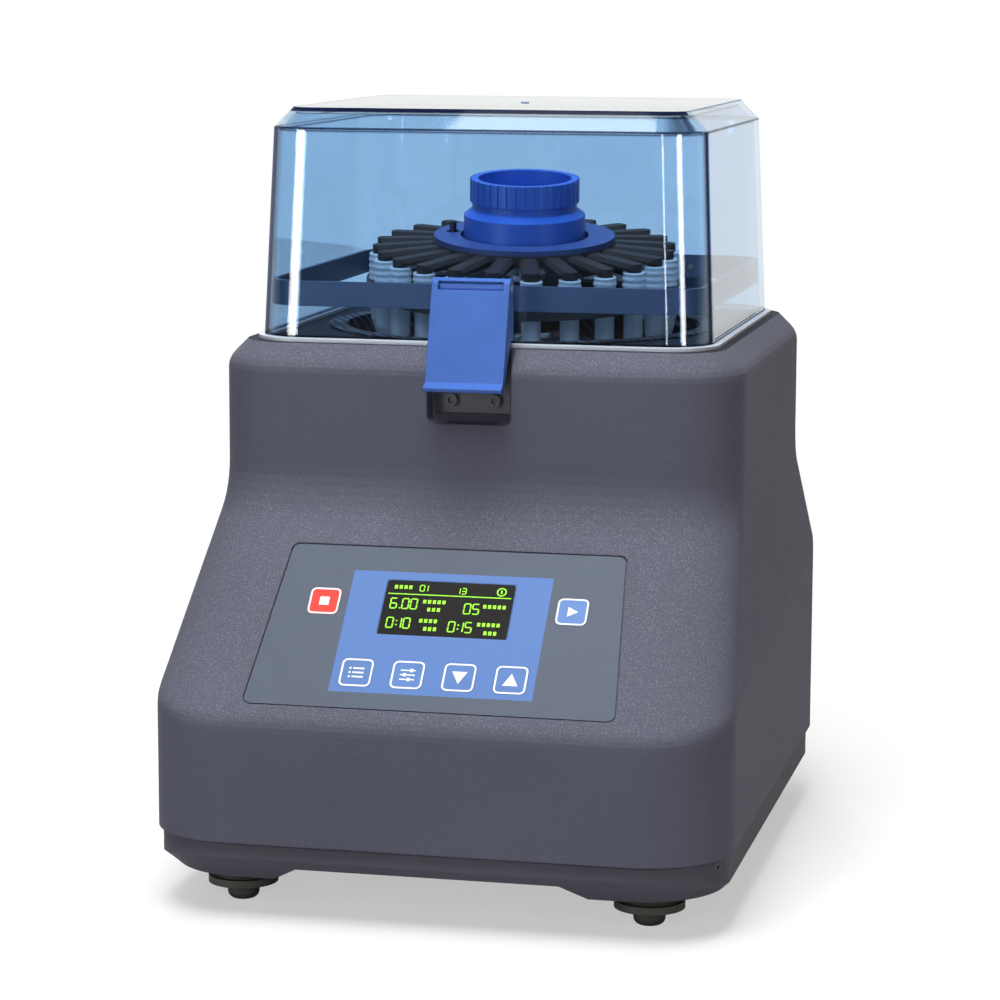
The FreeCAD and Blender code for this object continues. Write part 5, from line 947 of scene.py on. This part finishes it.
@dataclass
class TubeRing:
    """The caps of the sample tubes, on the tilted circle, in millimetres."""

    count: int = 24
    circle: float = 82.0
    centre_y: float = 45.0
    pivot_z: float = 305.0
    tilt: float = math.radians(6.5)
    turn: float = math.radians(12.7)
    segments: int = 28
    radius: float = 6.7
    bottom: float = 319.0
    top: float = 334.0
    ridges: float = 4.0
    ridge_depth: float = 0.32
    recess: float = 0.7

    def tilted(self, points: np.ndarray) -> np.ndarray:
        """Turn upright points about the swash centre, the low side towards the rest angle."""
        axis = Vector((math.cos(self.turn), math.sin(self.turn), 0.0))
        matrix = np.array(Matrix.Rotation(self.tilt, 3, axis))
        centre = np.array([0.0, self.centre_y, self.pivot_z])
        return (points - centre) @ matrix.T + centre

    def profile(self) -> np.ndarray:
        """A cap's side: radius over height. A cosine makes the ridges, between a rim and a recessed top."""
        height = np.linspace(self.bottom, self.top - 0.8, 22)
        share = (height - self.bottom) / (self.top - self.bottom)
        ridges = self.ridge_depth * np.cos(share * 2 * math.pi * self.ridges)
        base = np.where(share < 0.12, 0.25, 0.0)
        side = np.stack([self.radius - 0.45 + ridges * (share > 0.1) + base, height], axis=1)
        crown = np.array([[self.radius - 0.9, self.top], [self.radius - 1.7, self.top],
                          [self.radius - 2.0, self.top - self.recess], [0.001, self.top - self.recess]])
        foot = np.array([[0.001, self.bottom + 0.02], [self.radius - 0.6, self.bottom + 0.02]])
        return np.concatenate([foot, side, crown])

    def build(self) -> None:
        """Build all the caps as one piece: the profile is turned about each cap's own line."""
        sheet = Sheet()
        profile = self.profile()
        turns = np.arange(self.segments) * 2 * math.pi / self.segments
        ring = np.stack([np.cos(turns), np.sin(turns)], axis=1)
        rows = len(profile)
        grid = np.zeros((rows, self.segments, 3))
        grid[:, :, :2] = profile[:, 0][:, None, None] * ring[None]
        grid[:, :, 2] = profile[:, 1][:, None]
        index = np.arange(rows * self.segments).reshape(rows, self.segments)
        after = np.roll(index, -1, axis=1)
        faces = np.stack([index[:-1], after[:-1], after[1:], index[1:]], axis=-1).reshape(-1, 4)
        for step in range(self.count):
            angle = 2 * math.pi * step / self.count
            place = np.array([math.sin(angle), -math.cos(angle), 0.0]) * self.circle
            place[1] += self.centre_y
            sheet.add(self.tilted(grid.reshape(-1, 3) + place) * MM, faces)
        piece = sheet.object("ridged_caps", CAP_PLASTIC.make(), Body.ROTOR, smooth=True)
        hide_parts("tube_caps")


class Dresser:
    """Gives every CAD node the finish of its slot in the record."""

    def __init__(self) -> None:
        """Build each finish once."""
        self.materials = {slot: finish.make() for slot, finish in FINISHES.items()}

    def dress(self) -> None:
        """Assign the finishes."""
        for entry in frame["record"]["subparts"]:
            node = entry["node"]
            slot = FINISHED_AS.get(node, entry["material_slot"])
            piece = frame["nodes"][node]
            for index in range(max(1, len(piece.material_slots))):
                if not piece.material_slots:
                    piece.data.materials.append(self.materials[slot])
                piece.material_slots[index].material = self.materials[slot]
            LOG.info("%s: %s", node, self.materials[slot].name)


@dataclass
class Camera:
    """The camera, solved from the object's straight edges. Its focal length is in widths of the sensor."""

    place: Place = (0.40078, -1.79135, 0.48591)
    yaw: float = math.radians(12.72)
    pitch: float = math.radians(8.94)
    roll: float = math.radians(0.20)
    focal_share: float = 3.2978
    sensor: float = 36.0

    def build(self) -> None:
        """Place the camera: right, up and back vectors make its matrix."""
        forward = Vector((-math.sin(self.yaw) * math.cos(self.pitch),
                          math.cos(self.yaw) * math.cos(self.pitch), -math.sin(self.pitch)))
        right = Vector((math.cos(self.yaw), math.sin(self.yaw), 0.0))
        up = right.cross(forward)
        turned_right = right * math.cos(self.roll) + up * math.sin(self.roll)
        turned_up = up * math.cos(self.roll) - right * math.sin(self.roll)
        rotation = Matrix((turned_right, turned_up, -forward)).transposed().to_4x4()
        data = bpy.data.cameras.new("camera")
        data.sensor_width = self.sensor
        data.sensor_fit = "HORIZONTAL"
        data.lens = self.focal_share * self.sensor
        data.clip_end = 60.0
        camera = bpy.data.objects.new("camera", data)
        camera.matrix_world = Matrix.Translation(self.place) @ rotation
        bpy.context.scene.collection.objects.link(camera)
        bpy.context.scene.camera = camera


@dataclass(frozen=True)
class Lamp:
    """A soft rectangular lamp. A card shows only where it is mirrored, a wash only where it is not."""

    name: str
    place: Place
    target: Place
    width: float
    height: float
    power: float
    lights: bool = True
    mirrored: bool = True

    def build(self) -> None:
        """Hang the lamp and point it at its target."""
        data = bpy.data.lights.new(self.name, "AREA")
        data.shape = "RECTANGLE"
        data.size = self.width
        data.size_y = self.height
        data.energy = self.power
        lamp = bpy.data.objects.new(self.name, data)
        lamp.location = self.place
        lamp.rotation_euler = (Vector(self.target) - Vector(self.place)).to_track_quat("-Z", "Y").to_euler()
        lamp.visible_diffuse = self.lights
        lamp.visible_glossy = self.mirrored
        bpy.context.scene.collection.objects.link(lamp)


@dataclass
class Studio:
    """A white floor and surround: light mostly from above, dim on the left and warm on the right.

    From the near distance to the far one the floor fades to plain white.
    """

    left_fill: Colour = (0.05, 0.05, 0.065)
    right_fill: Colour = (0.175, 0.115, 0.07)
    front: float = 0.03
    near: float = 0.26
    far: float = 0.58
    glow: float = 0.50
    span: float = 14.0
    lamps: tuple[Lamp, ...] = (
        Lamp("overhead", (-0.05, -0.50, 2.2), (0.0, -0.1, 0.2), 0.9, 1.8, 66.0, mirrored=False),
        Lamp("front_wash", (0.25, -2.5, 1.25), (0.0, 0.0, 0.35), 0.5, 1.0, 10.5, mirrored=False),
        Lamp("rear_wash", (-0.95, 2.4, 1.5), (0.0, 0.1, 0.25), 1.0, 1.0, 22.0, mirrored=False),
        Lamp("ceiling_card", (-0.39, -0.45, 2.2), (-0.05, -0.12, 0.40), 0.46, 0.60, 5.0, lights=False),
        Lamp("left_card", (-1.35, -1.85, 0.30), (-0.1, -0.1, 0.33), 0.75, 1.1, 46.0, lights=False),
        Lamp("right_card", (0.38, -2.40, 0.30), (0.1, -0.1, 0.33), 0.10, 1.1, 5.0, lights=False),
        Lamp("right_edge_card", (1.70, -1.40, 0.30), (0.1, -0.1, 0.33), 0.36, 1.1, 22.0, lights=False),
    )

    def surround(self) -> None:
        """Light the world: white where it is seen, dim in front and bright behind where it is mirrored."""
        sheet = NodeSheet("surround", world=True)
        path = sheet.add("ShaderNodeLightPath").outputs
        heading = sheet.parts(sheet.add("ShaderNodeTexCoord").outputs["Generated"])
        side = sheet.remap(heading["X"], 0.0, 1.0, -1.0, 1.0)
        back = sheet.remap(heading["Y"], self.front, 1.0, 0.15, 0.75)
        fill = sheet.blend(side, self.left_fill, self.right_fill)
        mirrored = sheet.blend(back, (0.0, 0.0, 0.0), (1.0, 1.0, 1.0))
        lit = sheet.blend(path["Is Glossy Ray"], fill, mirrored)
        seen = sheet.math("MAXIMUM", path["Is Camera Ray"], path["Is Transmission Ray"])
        background = sheet.add("ShaderNodeBackground")
        sheet.wire(sheet.blend(seen, lit, (1.0, 1.0, 1.0)), background.inputs["Color"])
        bpy.context.scene.world = sheet.surface(background.outputs[0])

    def floor(self) -> None:
        """Lay the floor: it keeps a soft shadow near the machine, and its mirror image is white behind."""
        sheet = NodeSheet("floor_white")
        cloud = sheet.noise(3.0, 2.0)
        path = sheet.add("ShaderNodeLightPath").outputs
        tone = sheet.blend(sheet.remap(cloud, 0.0, 1.0), (0.87, 0.87, 0.87), (0.89, 0.89, 0.89))
        matt = sheet.add("ShaderNodeBsdfDiffuse")
        sheet.wire(sheet.blend(path["Is Diffuse Ray"], tone, (0.52, 0.52, 0.55)), matt.inputs["Color"])
        white = sheet.add("ShaderNodeEmission", {"Color": (1.0, 1.0, 1.0, 1.0), "Strength": 1.0})
        seen = sheet.math("MAXIMUM", path["Is Camera Ray"], path["Is Transmission Ray"])
        length = sheet.add("ShaderNodeVectorMath", operation="LENGTH")
        sheet.wire(sheet.place(), length.inputs[0])
        fade = sheet.remap(length.outputs["Value"], self.glow, 1.0, self.near, self.far)
        share = sheet.product(seen, fade)
        behind = sheet.remap(sheet.parts(sheet.place())["Y"], 0.0, 1.0, 0.2, 0.7)
        mirrored = sheet.product(path["Is Glossy Ray"], behind)
        mix = sheet.add("ShaderNodeMixShader")
        sheet.wire(sheet.math("MAXIMUM", share, mirrored), mix.inputs[0])
        sheet.wire(matt.outputs[0], mix.inputs[1])
        sheet.wire(white.outputs[0], mix.inputs[2])
        mesh = bpy.data.meshes.new("floor")
        edge = np.array([[-1, -1, 0], [1, -1, 0], [1, 1, 0], [-1, 1, 0]], float) * self.span
        mesh.from_pydata(edge.tolist(), [], [(0, 1, 2, 3)])
        mesh.materials.append(sheet.surface(mix.outputs[0]))
        floor = bpy.data.objects.new("floor", mesh)
        bpy.context.scene.collection.objects.link(floor)

    def build(self) -> None:
        """Build the lamps, the surround and the floor."""
        for lamp in self.lamps:
            lamp.build()
        self.surround()
        self.floor()


def main() -> None:
    """Build the camera, the studio, the finishes and the added pieces."""
    logging.basicConfig(level=logging.INFO, format="%(name)s %(message)s")
    bpy.context.scene.view_settings.view_transform = "Standard"
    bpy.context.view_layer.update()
    Camera().build()
    Studio().build()
    Dresser().dress()
    ControlPanel().build()
    TubeRing().build()


if __name__ == "__main__":
    main()
